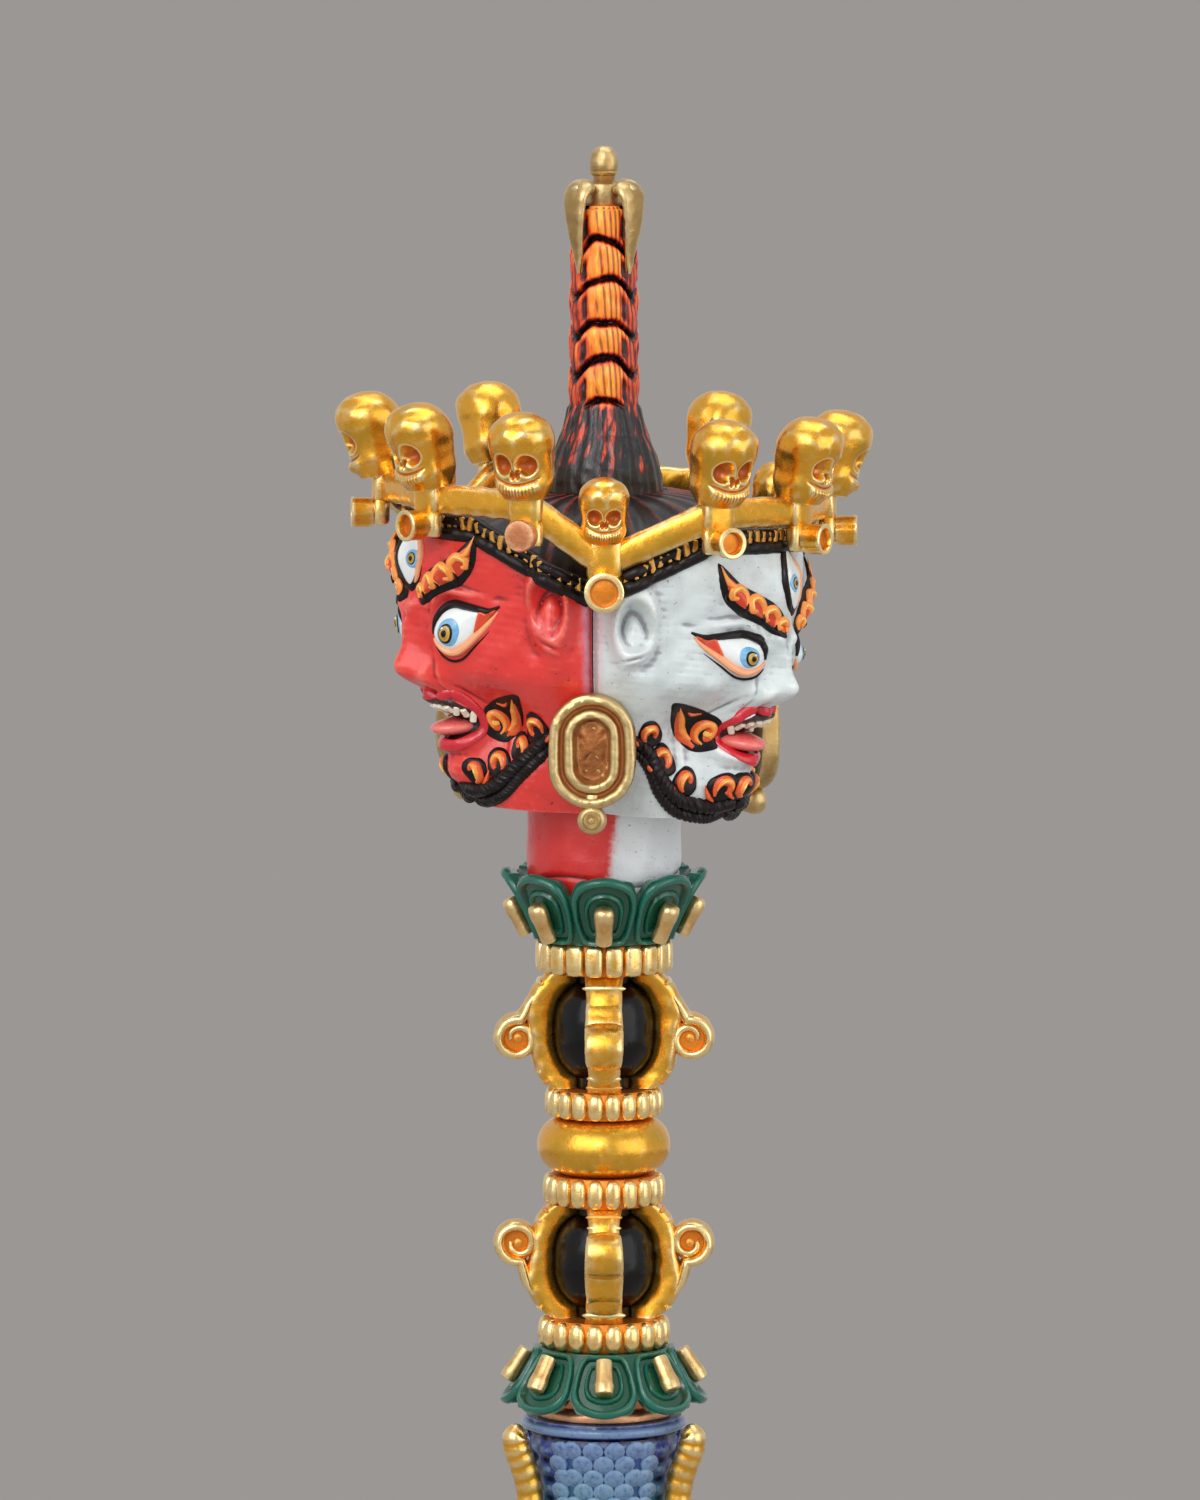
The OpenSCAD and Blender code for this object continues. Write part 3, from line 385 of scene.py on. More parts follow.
def repeat(shape, unit_shape, finish, spots, turns=None, sizes=1.0, **marks):
    """Sets copies of a unit on spots, through the Setting tree."""
    spots = np.asarray(spots, float).reshape(-1, 3)
    seed = bpy.data.meshes.new("spots")
    seed.from_pydata(spots.tolist(), [], [])
    turns = np.zeros_like(spots) if turns is None else np.asarray(turns, float)
    sizes = np.asarray(sizes, float)
    sizes = np.broadcast_to(sizes[:, None] if sizes.ndim == 1 else sizes, spots.shape)
    for label, values in (("turn", turns), ("grow", sizes)):
        seed.attributes.new(label, "FLOAT_VECTOR", "POINT").data.foreach_set(
            "vector", values.astype(np.float32).ravel())
    mesh = bpy.data.meshes.new("unit")
    flat, sizes_of = np.concatenate(unit_shape.corners), np.concatenate(unit_shape.sizes)
    cuts = np.split(flat, np.cumsum(sizes_of)[:-1])
    mesh.from_pydata(np.concatenate(unit_shape.points).tolist(), [], [c.tolist() for c in cuts])
    unit_object = linked("unit", mesh)
    for mark, parts in unit_shape.marks.items():
        marks.setdefault(mark, np.tile(np.concatenate([values for _, values in parts]), len(spots)))
    grown(seed, SETTING, finish, shape, marks, {"Unit": unit_object, "Size": 1.0, "Finish": finish})
    bpy.data.objects.remove(unit_object)


def cord(shape, path, thick, finish, sides, **marks):
    """A round cord along a path, through the Cord tree."""
    path = np.asarray(path, float)
    seed = bpy.data.meshes.new("path")
    seed.from_pydata(path.tolist(), [(i, i + 1) for i in range(len(path) - 1)], [])
    seed.attributes.new("thick", "FLOAT", "POINT").data.foreach_set(
        "value", np.broadcast_to(thick, len(path)).astype(np.float32))
    grown(seed, CORD, finish, shape, marks, {"Sides": sides, "Size": 1.0, "Finish": finish})


# Finishes
def chart(red, green, blue):
    """A colour from a paint chart, each part 0 to 255, made linear for a shader."""
    return tuple(c / 3294.6 if c <= 10
                 else ((c / 255 + 0.055) / 1.055) ** 2.4 for c in (red, green, blue)) + (1.0,)


class Value:
    """One socket of a finish, with the plain operators on it."""

    def __init__(self, look, socket):
        self.look, self.socket = look, socket

    def maths(self, operation, first, second):
        return self.look.node("ShaderNodeMath", {"operation": operation}, {0: first, 1: second})

    def __add__(self, other):
        return self.maths("ADD", self, other)

    def __radd__(self, other):
        return self.maths("ADD", other, self)

    def __sub__(self, other):
        return self.maths("SUBTRACT", self, other)

    def __rsub__(self, other):
        return self.maths("SUBTRACT", other, self)

    def __mul__(self, other):
        return self.maths("MULTIPLY", self, other)

    def __rmul__(self, other):
        return self.maths("MULTIPLY", other, self)


class Look:
    """A finish under way: what its nodes read, and how they are joined."""

    def __init__(self, name):
        self.material = bpy.data.materials.new(name)
        self.material.use_nodes = True
        self.tree = self.material.node_tree
        self.tree.nodes.clear()
        place = self.node("ShaderNodeTexCoord", {}, {}, "Object")
        self.mm = self.node("ShaderNodeVectorMath", {"operation": "SCALE"}, {0: place, "Scale": 1 / MM})

    def node(self, kind, settings, sockets, out=0):
        plain = {place: v.socket if isinstance(v, Value) else v for place, v in sockets.items()}
        return Value(self, add_node(self.tree, kind, settings, plain).outputs[out])

    def mark(self, label):
        return self.node("ShaderNodeAttribute", {"attribute_name": label}, {}, "Fac")

    def noise(self, grain, detail, shift=0.0, stretch=(1, 1, 1)):
        """Cloudy noise from 0 to 1 whose patches are about grain millimetres across."""
        place = self.node("ShaderNodeMapping", {},
                          {"Vector": self.mm, "Location": (shift, 2 * shift, 3 * shift), "Scale": stretch})
        return self.node("ShaderNodeTexNoise", {}, {"Vector": place, "Scale": 1 / grain, "Detail": detail})

    def share(self, value, low, high):
        """0 below low, 1 above high, smooth between."""
        return self.node("ShaderNodeMapRange", {"interpolation_type": "SMOOTHSTEP"},
                         {0: value, 1: low, 2: high})

    def mix(self, much, under, over):
        """Lays over on under; three plain numbers are a colour from the paint chart."""
        under, over = (chart(*c) if isinstance(c, tuple) else c for c in (under, over))
        return self.node("ShaderNodeMix", {"data_type": "RGBA"}, {0: much, 6: under, 7: over}, 2)

    def close(self, colour, rough, metal, relief, depth, coat=0.2, coat_rough=0.2, shine=0.5):
        """Joins colour, roughness, metal and relief, depth millimetres deep, to the shader."""
        bump = self.node("ShaderNodeBump", {}, {"Strength": 1.0, "Distance": depth * MM, "Height": relief})
        self.node_out(self.node("ShaderNodeBsdfPrincipled", {}, {
            "Base Color": colour, "Roughness": rough, "Metallic": metal, "Normal": bump,
            "Coat Weight": coat, "Coat Roughness": coat_rough, "Specular IOR Level": shine}))
        return self.material

    def node_out(self, shader):
        add_node(self.tree, "ShaderNodeOutputMaterial", {}, {0: shader.socket})


def metal(name, bright, pale, deep, patch, rough=(0.2, 0.36), grime_and_shade=(0.12, 0.6), dull=0.55, dent=0.05,
          sheen=0.3):
    """Cast metal: pale on edges, as wear and painted highlight; toned in patches; deep in the hollows, as
    dirt and painted shade.
    """
    look = Look(name)
    hollow = look.mark("hollow")
    cloud, grain, fleck = look.noise(4.0, 4.0), look.noise(0.7, 4.0, 5.0), look.noise(0.18, 2.0, 9.0)
    # Deep colour in hollows and cloudy patches: dirt, and painted shade in the hollows.
    dirt_and_shade = look.share(hollow + (cloud - 0.5) * 0.5 + (grain - 0.5) * 0.5, *grime_and_shade)
    # Pale colour on convex edges: wear, and a painted highlight.
    wear_and_highlight = look.share((grain - 0.5) * 0.6 - hollow, 0.18, 0.7)
    colour = look.mix(look.share(cloud, 0.42, 0.7) * 0.55, bright, patch)
    colour = look.mix(wear_and_highlight * 0.7, colour, pale)
    colour = look.mix(dirt_and_shade, colour, deep)
    gloss = rough[0] + (rough[1] - rough[0]) * look.share(grain * 0.5 + cloud * 0.5, 0.3, 0.7) + dirt_and_shade * 0.25
    return look.close(colour, gloss, 0.92 - dirt_and_shade * dull, grain + fleck * 0.25, dent, sheen)


def paint(name, plain, deep, pale, rough=0.34, coat=0.25, speck=None, wash=0.5, grime_and_shade=(0.1, 0.65), spray=None,
          shine=0.5):
    """Brushed paint: paler on edges, as wear and painted highlight; darker in hollows, as grime and painted
    shade; with specks and a sprayed seam where asked.
    """
    look = Look(name)
    hollow = look.mark("hollow")
    cloud, grain = look.noise(3.2, 4.0), look.noise(0.55, 3.0, 4.0)
    brush = look.noise(0.22, 2.0, 8.0, (1, 1, 0.25))
    colour = look.mix(look.share(cloud, 0.4, 0.72) * wash * 0.4, plain, deep)
    # Paler on edges: wear, and a painted highlight.
    colour = look.mix(look.share(grain * 0.6 - hollow, 0.45, 1.0) * 0.6, colour, pale)
    # Darker in hollows: grime, and painted shade.
    colour = look.mix(look.share(hollow + (grain - 0.5) * 0.4, *grime_and_shade) * 0.85, colour, deep)
    if spray:
        colour = look.mix(look.share(look.mark("spray") + (grain - 0.5) * 0.5, 0.2, 0.9) * 0.75, colour,
                          spray)
    if speck:
        dots = look.share(look.noise(0.42, 1.0, 15.0), 0.70, 0.755) * look.share(cloud, 0.4, 0.6)
        colour = look.mix(dots * 0.8, colour, speck)
    gloss = rough + (grain - 0.5) * 0.2 + look.share(hollow, 0.2, 0.8) * 0.15
    return look.close(colour, gloss, 0.0, grain * 0.7 + brush * 0.5, 0.035, coat, 0.18, shine)


def neck_paint():
    """The neck: each side in the colour of the head above it, scuffed."""
    look = Look("neck_paint")
    grain, cloud = look.noise(0.5, 4.0), look.noise(2.4, 3.0, 3.0)
    edge = (grain - 0.5) * 0.35 + (cloud - 0.5) * 0.25
    colour = look.mix(look.share(look.mark("white_share") + edge, 0.3, 0.7), (212, 46, 42), (218, 222, 224))
    colour = look.mix(look.share(look.mark("blue_share") + edge, 0.3, 0.7), colour, (38, 66, 150))
    # Darker in hollows and folds: painted shade.
    colour = look.mix(look.share(look.mark("hollow") + edge, 0.15, 0.6) * 0.8, colour, (96, 26, 28))
    colour = look.mix(look.share(look.noise(0.3, 2.0, 12.0), 0.66, 0.74) * 0.6, colour, (70, 24, 26))
    return look.close(colour, 0.36 + (grain - 0.5) * 0.2, 0.0, grain, 0.04)


def makara_paint():
    """The makara's glaze: navy by the lotus, teal below, painted shade between the scales, and pale raised
    edges as dry-brush and painted highlight.
    """
    look = Look("makara_glaze")
    hollow, grain, cloud = look.mark("hollow"), look.noise(0.5, 3.0), look.noise(4.0, 3.0, 6.0)
    height = look.node("ShaderNodeSeparateXYZ", {}, {0: look.mm}, "Z")
    colour = look.mix(look.share(height + (cloud - 0.5) * 9.0, 112.0, 121.0), (38, 104, 118), (38, 48, 132))
    # Darker between the scales and in hollows: painted shade.
    colour = look.mix(look.share(hollow + (grain - 0.5) * 0.3, 0.05, 0.5), colour, (10, 14, 46))
    # Paler on raised edges: dry-brush, and a painted highlight.
    colour = look.mix(look.share((grain - 0.5) - hollow, 0.1, 0.75) * 0.7, colour, (128, 160, 190))
    return look.close(colour, 0.3 + (grain - 0.5) * 0.2, 0.0, grain, 0.05, 0.35, 0.15)


def hair_paint():
    """Hair strokes: black, dark red, red-orange, orange and yellow by the tone of each point."""
    look = Look("hair_strokes")
    comb = look.noise(0.2, 2.0, 2.0, (1, 1, 0.18))
    tone = look.mark("tone") + (comb - 0.5) * 0.5 + (look.noise(1.2, 2.0) - 0.5) * 0.2
    colour = look.mix(look.share(tone, 0.10, 0.26), (11, 8, 9), (120, 22, 18))
    colour = look.mix(look.share(tone, 0.26, 0.48), colour, (228, 76, 26))
    colour = look.mix(look.share(tone, 0.48, 0.72), colour, (255, 148, 46))
    colour = look.mix(look.share(tone, 0.80, 1.02), colour, (255, 200, 80))
    # Darker in hollows: painted shade.
    colour = look.mix(look.share(look.mark("hollow"), 0.2, 0.6) * 0.6, colour, (70, 14, 14))
    return look.close(colour, 0.34 + (comb - 0.5) * 0.2, 0.0, comb, 0.06, 0.15)


# Metals give bright, pale, deep and patch colours; paints give plain, deep and pale. Pale goes on edges as
# wear and painted highlight, deep into hollows as dirt and painted shade.
GILDING = metal("gilding", (246, 178, 54), (255, 240, 186), (186, 90, 18), (190, 156, 44),
                dent=0.035)
PALE_GOLD = metal("pale_gold", (220, 172, 96), (252, 224, 168), (150, 70, 24), (184, 130, 66), (0.28, 0.44))
OLD_BRASS = metal("old_brass", (184, 150, 92), (232, 208, 152), (164, 92, 40), (150, 116, 64), (0.3, 0.48))
COPPER = metal("bare_copper", (206, 134, 90), (242, 190, 144), (96, 44, 24), (172, 104, 68), (0.3, 0.5))
TARNISH = metal("tarnished_gilding", (186, 116, 44), (226, 176, 84), (60, 30, 14), (120, 66, 26), (0.34, 0.5),
                (0.1, 0.6), dull=0.8)
STEEL = metal("rod_steel", (180, 178, 174), (222, 220, 216), (80, 64, 52), (140, 138, 134), (0.28, 0.45))
PIT = metal("orange_pit", (226, 136, 44), (250, 190, 96), (150, 58, 14), (206, 112, 34), (0.4, 0.6),
            dull=0.7, sheen=0.1)
ROUGH = metal("rough_cast_floor", (176, 112, 64), (226, 168, 110), (78, 38, 18), (130, 76, 40), (0.45, 0.65),
              (0.0, 0.5), dull=0.9, dent=0.12, sheen=0.05)
RED = paint("red_face", (232, 56, 50), (146, 18, 24), (246, 116, 98), 0.3, 0.45, speck=(70, 14, 18),
            spray=(196, 150, 178))
WHITE = paint("white_face", (216, 226, 226), (142, 140, 148), (238, 242, 240), 0.3, 0.4,
              speck=(120, 112, 116), wash=0.7, spray=(226, 176, 184))
BLUE = paint("blue_face", (36, 74, 170), (12, 22, 80), (90, 130, 205), 0.3, 0.45, speck=(12, 16, 50),
             spray=(190, 190, 220))
NECK = neck_paint()
PLATE_RED = paint("red_plate", (168, 28, 30), (70, 8, 12), (208, 80, 70))
MAKARA = makara_paint()
# Lotus green: painted shade reaches further into the hollows, and the teal rims carry a painted highlight.
GREEN = paint("lotus_green", (8, 78, 56), (3, 26, 20), (22, 112, 96), 0.28, 0.35, wash=0.6,
              grime_and_shade=(0.05, 0.5))
LACQUER = paint("black_lacquer", (9, 7, 8), (4, 3, 4), (24, 18, 18), 0.2, 0.1, shine=0.25)
HAIR = hair_paint()
CAP_HAIR = paint("hair_base", (12, 9, 10), (5, 4, 5), (176, 50, 32), 0.34, 0.08, shine=0.3)
LINER = paint("liner_black", (11, 9, 11), (5, 4, 5), (30, 18, 20), 0.36, 0.08, shine=0.25)
EYE_WHITE = paint("eye_white", (232, 238, 238), (180, 176, 180), (248, 250, 248), 0.22, 0.5, wash=0.2)
EYE_BLUE = paint("eye_blue", (98, 168, 216), (60, 110, 170), (150, 200, 230), 0.22, 0.5)
OCHRE = paint("iris_ochre", (178, 132, 34), (104, 66, 16), (216, 176, 76), 0.22, 0.5)
LID = paint("lid_orange", (250, 150, 96), (214, 84, 50), (255, 186, 140), 0.32)
CRIMSON = paint("lip_crimson", (204, 14, 36), (112, 6, 20), (216, 44, 58), 0.26, 0.4)
IVORY = paint("ivory", (234, 226, 200), (168, 128, 84), (250, 244, 226), 0.3, 0.4)
CORAL = paint("tongue_coral", (232, 92, 88), (168, 40, 46), (246, 140, 130), 0.28, 0.45)
MOUTH = paint("mouth_dark", (34, 10, 12), (14, 4, 6), (70, 20, 22), 0.4)
FLAME = paint("flame_red", (216, 62, 30), (140, 26, 14), (240, 110, 50), 0.3)
ORANGE = paint("flame_orange", (250, 132, 42), (206, 74, 22), (255, 168, 80), 0.3)
YELLOW = paint("flame_yellow", (255, 196, 62), (226, 140, 36), (255, 222, 130), 0.3)


# Small units that are set many times
def ball(out, across, up, rows, around):
    """A closed ball from its three half sizes."""
    shape = Shape()
    t = np.radians(np.linspace(-86, 86, rows))[:, None]
    p = np.arange(around)[None] * 2 * math.pi / around
    rings = np.stack(np.broadcast_arrays(np.sin(t) * out, np.cos(t) * np.cos(p) * across,
                                         np.cos(t) * np.sin(p) * up), -1)
    shape.loft(rings, None)
    return shape


def block(out, across, up, power, around):
    """A closed block with rounded edges: out, across and up are half sizes."""
    shape = Shape()
    x, y = oval(around, power)
    rings = [np.stack([x * out * s, y * across * s, np.full(around, z * up)], -1)
             for z, s in ((-1.0, 0.72), (-0.86, 1.0), (0.0, 1.0), (0.86, 1.0), (1.0, 0.72))]
    shape.loft(rings, None)
    return shape


def askew(r, az):
    """How far the heads and the crown sit up on the red side."""
    return -HEAD_TILT * r * cosd(az)


def brow_h(a):
    """Height of the brow ridge at an angle from the middle of the face."""
    return 17.9 + 0.38 * np.maximum(0, a - 6)


def upper_lip_h(a):
    return 9.7 - 1.4 * np.square(a / 24)


def lower_lip_h(a):
    return 5.2 + 3 * np.square(a / 24)


# Main forms of a face: angle, height, half width, half height and lift.
FACE_SWELLS = [(0, 12.5, 5, 1.7, 2.3), (0, 15.8, 4.2, 2.8, 1), (8.5, 11.9, 3.6, 1.3, 1.2),
               (0, 22.5, 24, 4.2, 0.8), (19, 16.3, 7, 1.9, 0.65), (14, 19, 6, 1.3, -0.4),
               (28, 12.2, 9, 2.6, 0.7), (0, 2.6, 11, 1.8, 1.3), (34, 3.4, 12, 2.4, 0.4),
               (0, 10.2, 12, 0.9, -0.6), (0, 8, 26, 4, -0.8), (27, 8, 16, 4.6, -4.4), (27, 17.5, 17, 8, -2),
               (50, 9, 12, 5, -1.2)]
# Finer forms: angle, height, half width, half height, lift, and whether each side has one.
FINE_SWELLS = [(15.5, 17.0, 7, 2.0, 0.5, 1), (5.4, 12.4, 1.9, 1.1, 0.5, 1), (3.1, 11.2, 1.3, 0.6, -0.9, 1),
               (9.2, 12.8, 1.0, 1.6, -0.45, 1), (3.0, 19.3, 2.1, 1.0, 0.6, 1), (0, 19.3, 0.8, 1.8, -0.45, 0),
               (0, 16.9, 1.6, 1.4, 0.2, 0), (24, 13.2, 6, 1.8, 0.5, 1), (0, 2.6, 6, 1.2, 0.3, 0),
               (-1.5, 24.8, 4, 3, 0.35, 0), (48, 15.2, 3.2, 1.1, 0.75, 1), (31.5, 20.6, 3.0, 0.5, -0.25, 1),
               (26.0, 6.4, 2.0, 1.4, 0.35, 1)]
UPPER_LID = [(9.3, 16.9), (10.2, 18.2), (12.2, 19.2), (15.5, 19.7), (19.5, 19.6), (24, 19.4), (28, 19.3),
             (31.5, 19.8)]
LOWER_LID = [(9.3, 16.5), (11.5, 15.9), (14.5, 15.5), (18, 15.5), (21.5, 16.1), (25, 17.2), (28, 18.2),
             (31, 19.3)]


def lip_relief(a, h):
    """Two lips with the mouth sunk between them."""
    upper, lower = upper_lip_h(a), lower_lip_h(a)
    lips = 1.2 * bell(h - upper, 0.7) * bell(a, 21) + bell(h - lower, 0.7) * bell(a, 17)
    return lips - 1.6 * bell(h - (upper + lower) / 2, 1.2) * bell(a, 17)


def face_relief(a, h):
    """The cast face: swells, brow, lips and ear."""
    total = sum(lift * bell(a - a0, wide) * bell(h - h0, tall) for a0, h0, wide, tall, lift in FACE_SWELLS)
    total = total + 0.9 * bell(h - brow_h(a), 1.3) * bell(a - 15, 9)
    total = total + lip_relief(a, h)
    ear = np.hypot((a - 47) / 6.5, (h - 19.4) / 4.2)
    return total + 1.2 * bell(ear - 0.85, 0.3) - 0.2 * bell(ear, 0.45)


def fine_relief(a, h):
    """What the chaser adds: lids, nostrils, knots of the brow, folds, and the whorl of each ear."""
    m = np.abs(a)
    total = sum(lift * bell((m if both else a) - a0, wide) * bell(h - h0, tall)
                for a0, h0, wide, tall, lift, both in FINE_SWELLS)
    lid = np.interp(m, *np.array(UPPER_LID).T)
    total = total + (0.3 * bell(h - lid - 1.1, 0.4) * bell(m - 17, 8)
                     - 0.3 * bell(h - lid - 1.9, 0.35) * bell(m - 16, 7))
    total = total - 0.45 * bell(h - 12.9 + 0.24 * (m - 9.5), 0.45) * bell(m - 15, 5)
    total = total - lip_relief(a, h - FACE_DROP) * share(m, 11, 16)
    across, up = (m - 47) / 6.5, (h - 19.4) / 4.2
    ear = np.hypot(across, up)
    total = total - 1.05 * bell(ear - 0.85, 0.3) * share(-across - 0.9 * up, 0.1, 0.9)
    total = total - 0.8 * bell(ear - 0.5, 0.15) * share(up, -0.3, 0.25)
    total = total + 0.2 * bell(ear - 0.9, 0.1) * share(up, -0.2, 0.5)
    total = total + 0.5 * bell(across - 0.05, 0.28) * bell(up + 0.2, 0.5)
    total = total - 0.4 * bell(h - 16.7 + 0.14 * (m - 48), 0.28) * bell(m - 47.5, 2.6)
    place = np.stack(np.broadcast_arrays(a * FACE_MM, h, 0 * a), -1)
    return total + 0.05 * ripple(place, 2.4, 3) + 0.025 * ripple(place, 0.9, 4)


def head_outline(a, h):
    """How far a head reaches from the object's axis."""
    m, low = np.abs(a), (13.5 - h) / 13.5
    low = 0.5 * (low + np.sqrt(low ** 2 + 0.01))
    return (21.2 - 5.0 * (m / 60) ** 2.6 - 7.3 * low ** 1.1
            - 1.3 * np.square(np.maximum(0, h - 23.7) / 5.6) + face_relief(m, h - FACE_DROP))


def drawn_angle(a, h):
    """Draws the cheeks in towards the nose."""
    along = np.clip((np.abs(a) - 6) / 44, 0, 1)
    return a - np.sign(a) * 5 * np.sin(math.pi * along) * bell(h - 11, 10)


def hairline_h(a):
    """Height of the hairline, lowest over the seams."""
    return FACE_H - 6 * np.clip((np.abs(a) - 24) / 36, 0, 1)


class Head:
    """One head: its place, and how far its eyes and brows sit above the others'."""

    def __init__(self, name, lift):
        self.name, self.az, self.lift = name, FACE_AZ[name] + HEAD_TURN, lift

    def raised(self, h):
        return h + self.lift * share(h, 12.0, 21.0)

    def reach(self, a, h):
        m, high = np.abs(a), self.raised(h)
        drop = face_relief(m, h - FACE_DROP) - face_relief(m, high - FACE_DROP)
        return head_outline(a, high) + drop + fine_relief(a, h)

    def at(self, a, h, out=0.0):
        a, h = np.broadcast_arrays(np.asarray(a, float), np.asarray(h, float))
        r, az = self.reach(a, h) + out, self.az + drawn_angle(a, self.raised(h))
        return polar(r, az, Z_CHIN + self.raised(h) + askew(r, az))

    def out_of(self, a, h):
        """The direction straight out of the skin."""
        a, h = np.asarray(a, float), np.asarray(h, float)
        across = self.at(a + 0.6, h) - self.at(a - 0.6, h)
        up = self.at(a, h + 0.2) - self.at(a, h - 0.2)
        return unit(np.cross(across, up))


def painted_angle(a):
    """Where the painter set a feature: the middles of the painted faces sit a little to one side."""
    return a + 2.6 * bell(a, 26)


class Brush:
    """Raised paint on one side of a head, placed by angle and height; side -1 mirrors it."""

    def __init__(self, shape, head, side):
        self.shape, self.head, self.side = shape, head, side

    def on_skin(self, places, out):
        places = np.asarray(places, float)
        return self.head.at(painted_angle(self.side * places[:, 0]), places[:, 1], out)

    def line(self, path, widths, tall, finish, count=36, out=0.0, **marks):
        """A raised stroke along a path."""
        path = smooth_path(path, count)
        wide = np.interp(np.linspace(0, 1, count), np.linspace(0, 1, len(widths)), widths) / 2
        low = np.minimum(np.maximum(wide * 1.4, 0.05) / max(wide.max() * 1.4, 0.05), 1)
        up = self.head.out_of(painted_angle(self.side * path[:, 0]), path[:, 1])
        self.shape.loft(bar_rings(self.on_skin(path, out), up, wide, tall * low, 2.0, 10), finish, **marks)

    def patch(self, outline, tall, finish, count=40, **marks):
        """A domed patch inside a closed outline."""
        loop = closed_path(outline, max(2, count // len(outline)))
        middle = loop.mean(0)
        rings = [self.on_skin(middle + (loop - middle) * size, lift) for size, lift in (
            (0.06, -0.4), (0.4, -0.4), (0.7, -0.4), (1.0, -0.06), (0.96, tall * 0.5), (0.86, tall * 0.85),
            (0.72, tall), (0.54, tall), (0.36, tall), (0.18, tall), (0.06, tall))]
        self.shape.loft(rings, finish, **marks)

    def disc(self, a, h, r, tall, finish, wide=1.0):
        t = round_about(20)
        self.patch(np.stack([a + wide * r / FACE_MM * np.cos(t), h + r * np.sin(t)], -1), tall, finish, 20)


def from_anchor(a, h, places):
    """Millimetres across and up from an anchor, as angles and heights."""
    return [(a + p[0] / FACE_MM, h + p[1]) for p in places]


def curl(across, up, r, start, sweep, shrink):
    """A hook or spiral as places across and up."""
    t = np.linspace(0, 1, 10)
    angle, reach = np.radians(start + sweep * t), r * (1 - shrink * t)
    return list(zip(across + reach * np.cos(angle), up + reach * np.sin(angle)))


def paint_eye(brush):
    """One eye: white, red corner, blue ring, ochre iris and both lids."""
    brush.patch([(9.8, 16.9), (10.8, 18.0), (12.6, 19.0), (15.5, 19.4), (19, 19.3), (23, 19.2), (26, 19.1),
                 (25, 17.9), (22, 16.6), (19, 15.9), (16, 15.6), (13, 15.8), (11, 16.2)], 0.34, EYE_WHITE,
                60)
    brush.patch([(24.6, 19.2), (27.5, 19.1), (30.6, 19.5), (28, 18.5), (25.5, 17.7), (23.8, 17.3)], 0.4,
                FLAME)
    brush.disc(16.4, 17.2, 1.4, 0.42, EYE_BLUE, 1.1)
    for r, tall, finish in ((1.02, 0.5, LINER), (0.86, 0.55, OCHRE), (0.4, 0.6, LINER)):
        brush.disc(16.0, 17.05, r, tall, finish)
    # A small white dot on the iris: a painted highlight.
    brush.disc(15.2, 17.5, 0.13, 0.66, EYE_WHITE)
    # The lid liner gets less painted shade.
    brush.line(UPPER_LID, [0.35, 0.8, 0.95, 0.95, 0.85, 0.75, 0.62, 0.25], 0.55, LINER, 44, hollow=-0.3)
    brush.line(LOWER_LID, [0.3, 0.6, 0.8, 0.86, 0.84, 0.74, 0.56, 0.14], 0.5, LID, 44)
    brush.line([(9.4, 15.8), (12, 14.9), (16, 14.6), (20.5, 15.0), (25, 16.3), (28.5, 17.5)],
              [0.1, 0.24, 0.28, 0.26, 0.2, 0.06], 0.2, LINER)


def paint_third_eye(brush):
    """The upright eye on the brow, in a black almond."""
    lift = brush.head.lift
    h = 24.6 - 0.6 * lift

    def almond(wide, tall):
        half = [(0, 1), (0.55, 0.62), (0.9, 0.25), (1, -0.1), (0.85, -0.45), (0.5, -0.75)]
        return [(wide * x, h + tall * y) for x, y in half + [(0, -1)] + [(-x, y) for x, y in half[:0:-1]]]

    brush.patch(almond(5.4, 3.7), 0.24, LINER, 60)
    brush.patch(almond(4.3, 3.1), 0.4, EYE_WHITE, 60)
    for r, tall, finish in ((1.05, 0.5, EYE_BLUE), (0.76, 0.55, LINER), (0.64, 0.6, OCHRE),
                            (0.3, 0.65, LINER)):
        brush.disc(0.6 + 2.0 * lift, h - 0.3, r, tall, finish)
    brush.line([(0, h - 3.1), (2.8, h - 2.1), (4.3, h - 0.2), (3.4, h + 1.5), (0.3, h + 3.1)],
              [0.1, 0.6, 0.85, 0.6, 0.1], 0.46, LID)
    # The black outline on this side gets less painted shade.
    brush.line([(0, h - 3.6), (-3.1, h - 2.3), (-4.7, h - 0.1), (-3.4, h + 1.9), (0, h + 3.8)],
              [0.1, 0.6, 0.8, 0.6, 0.1], 0.46, LINER, hollow=-0.3)


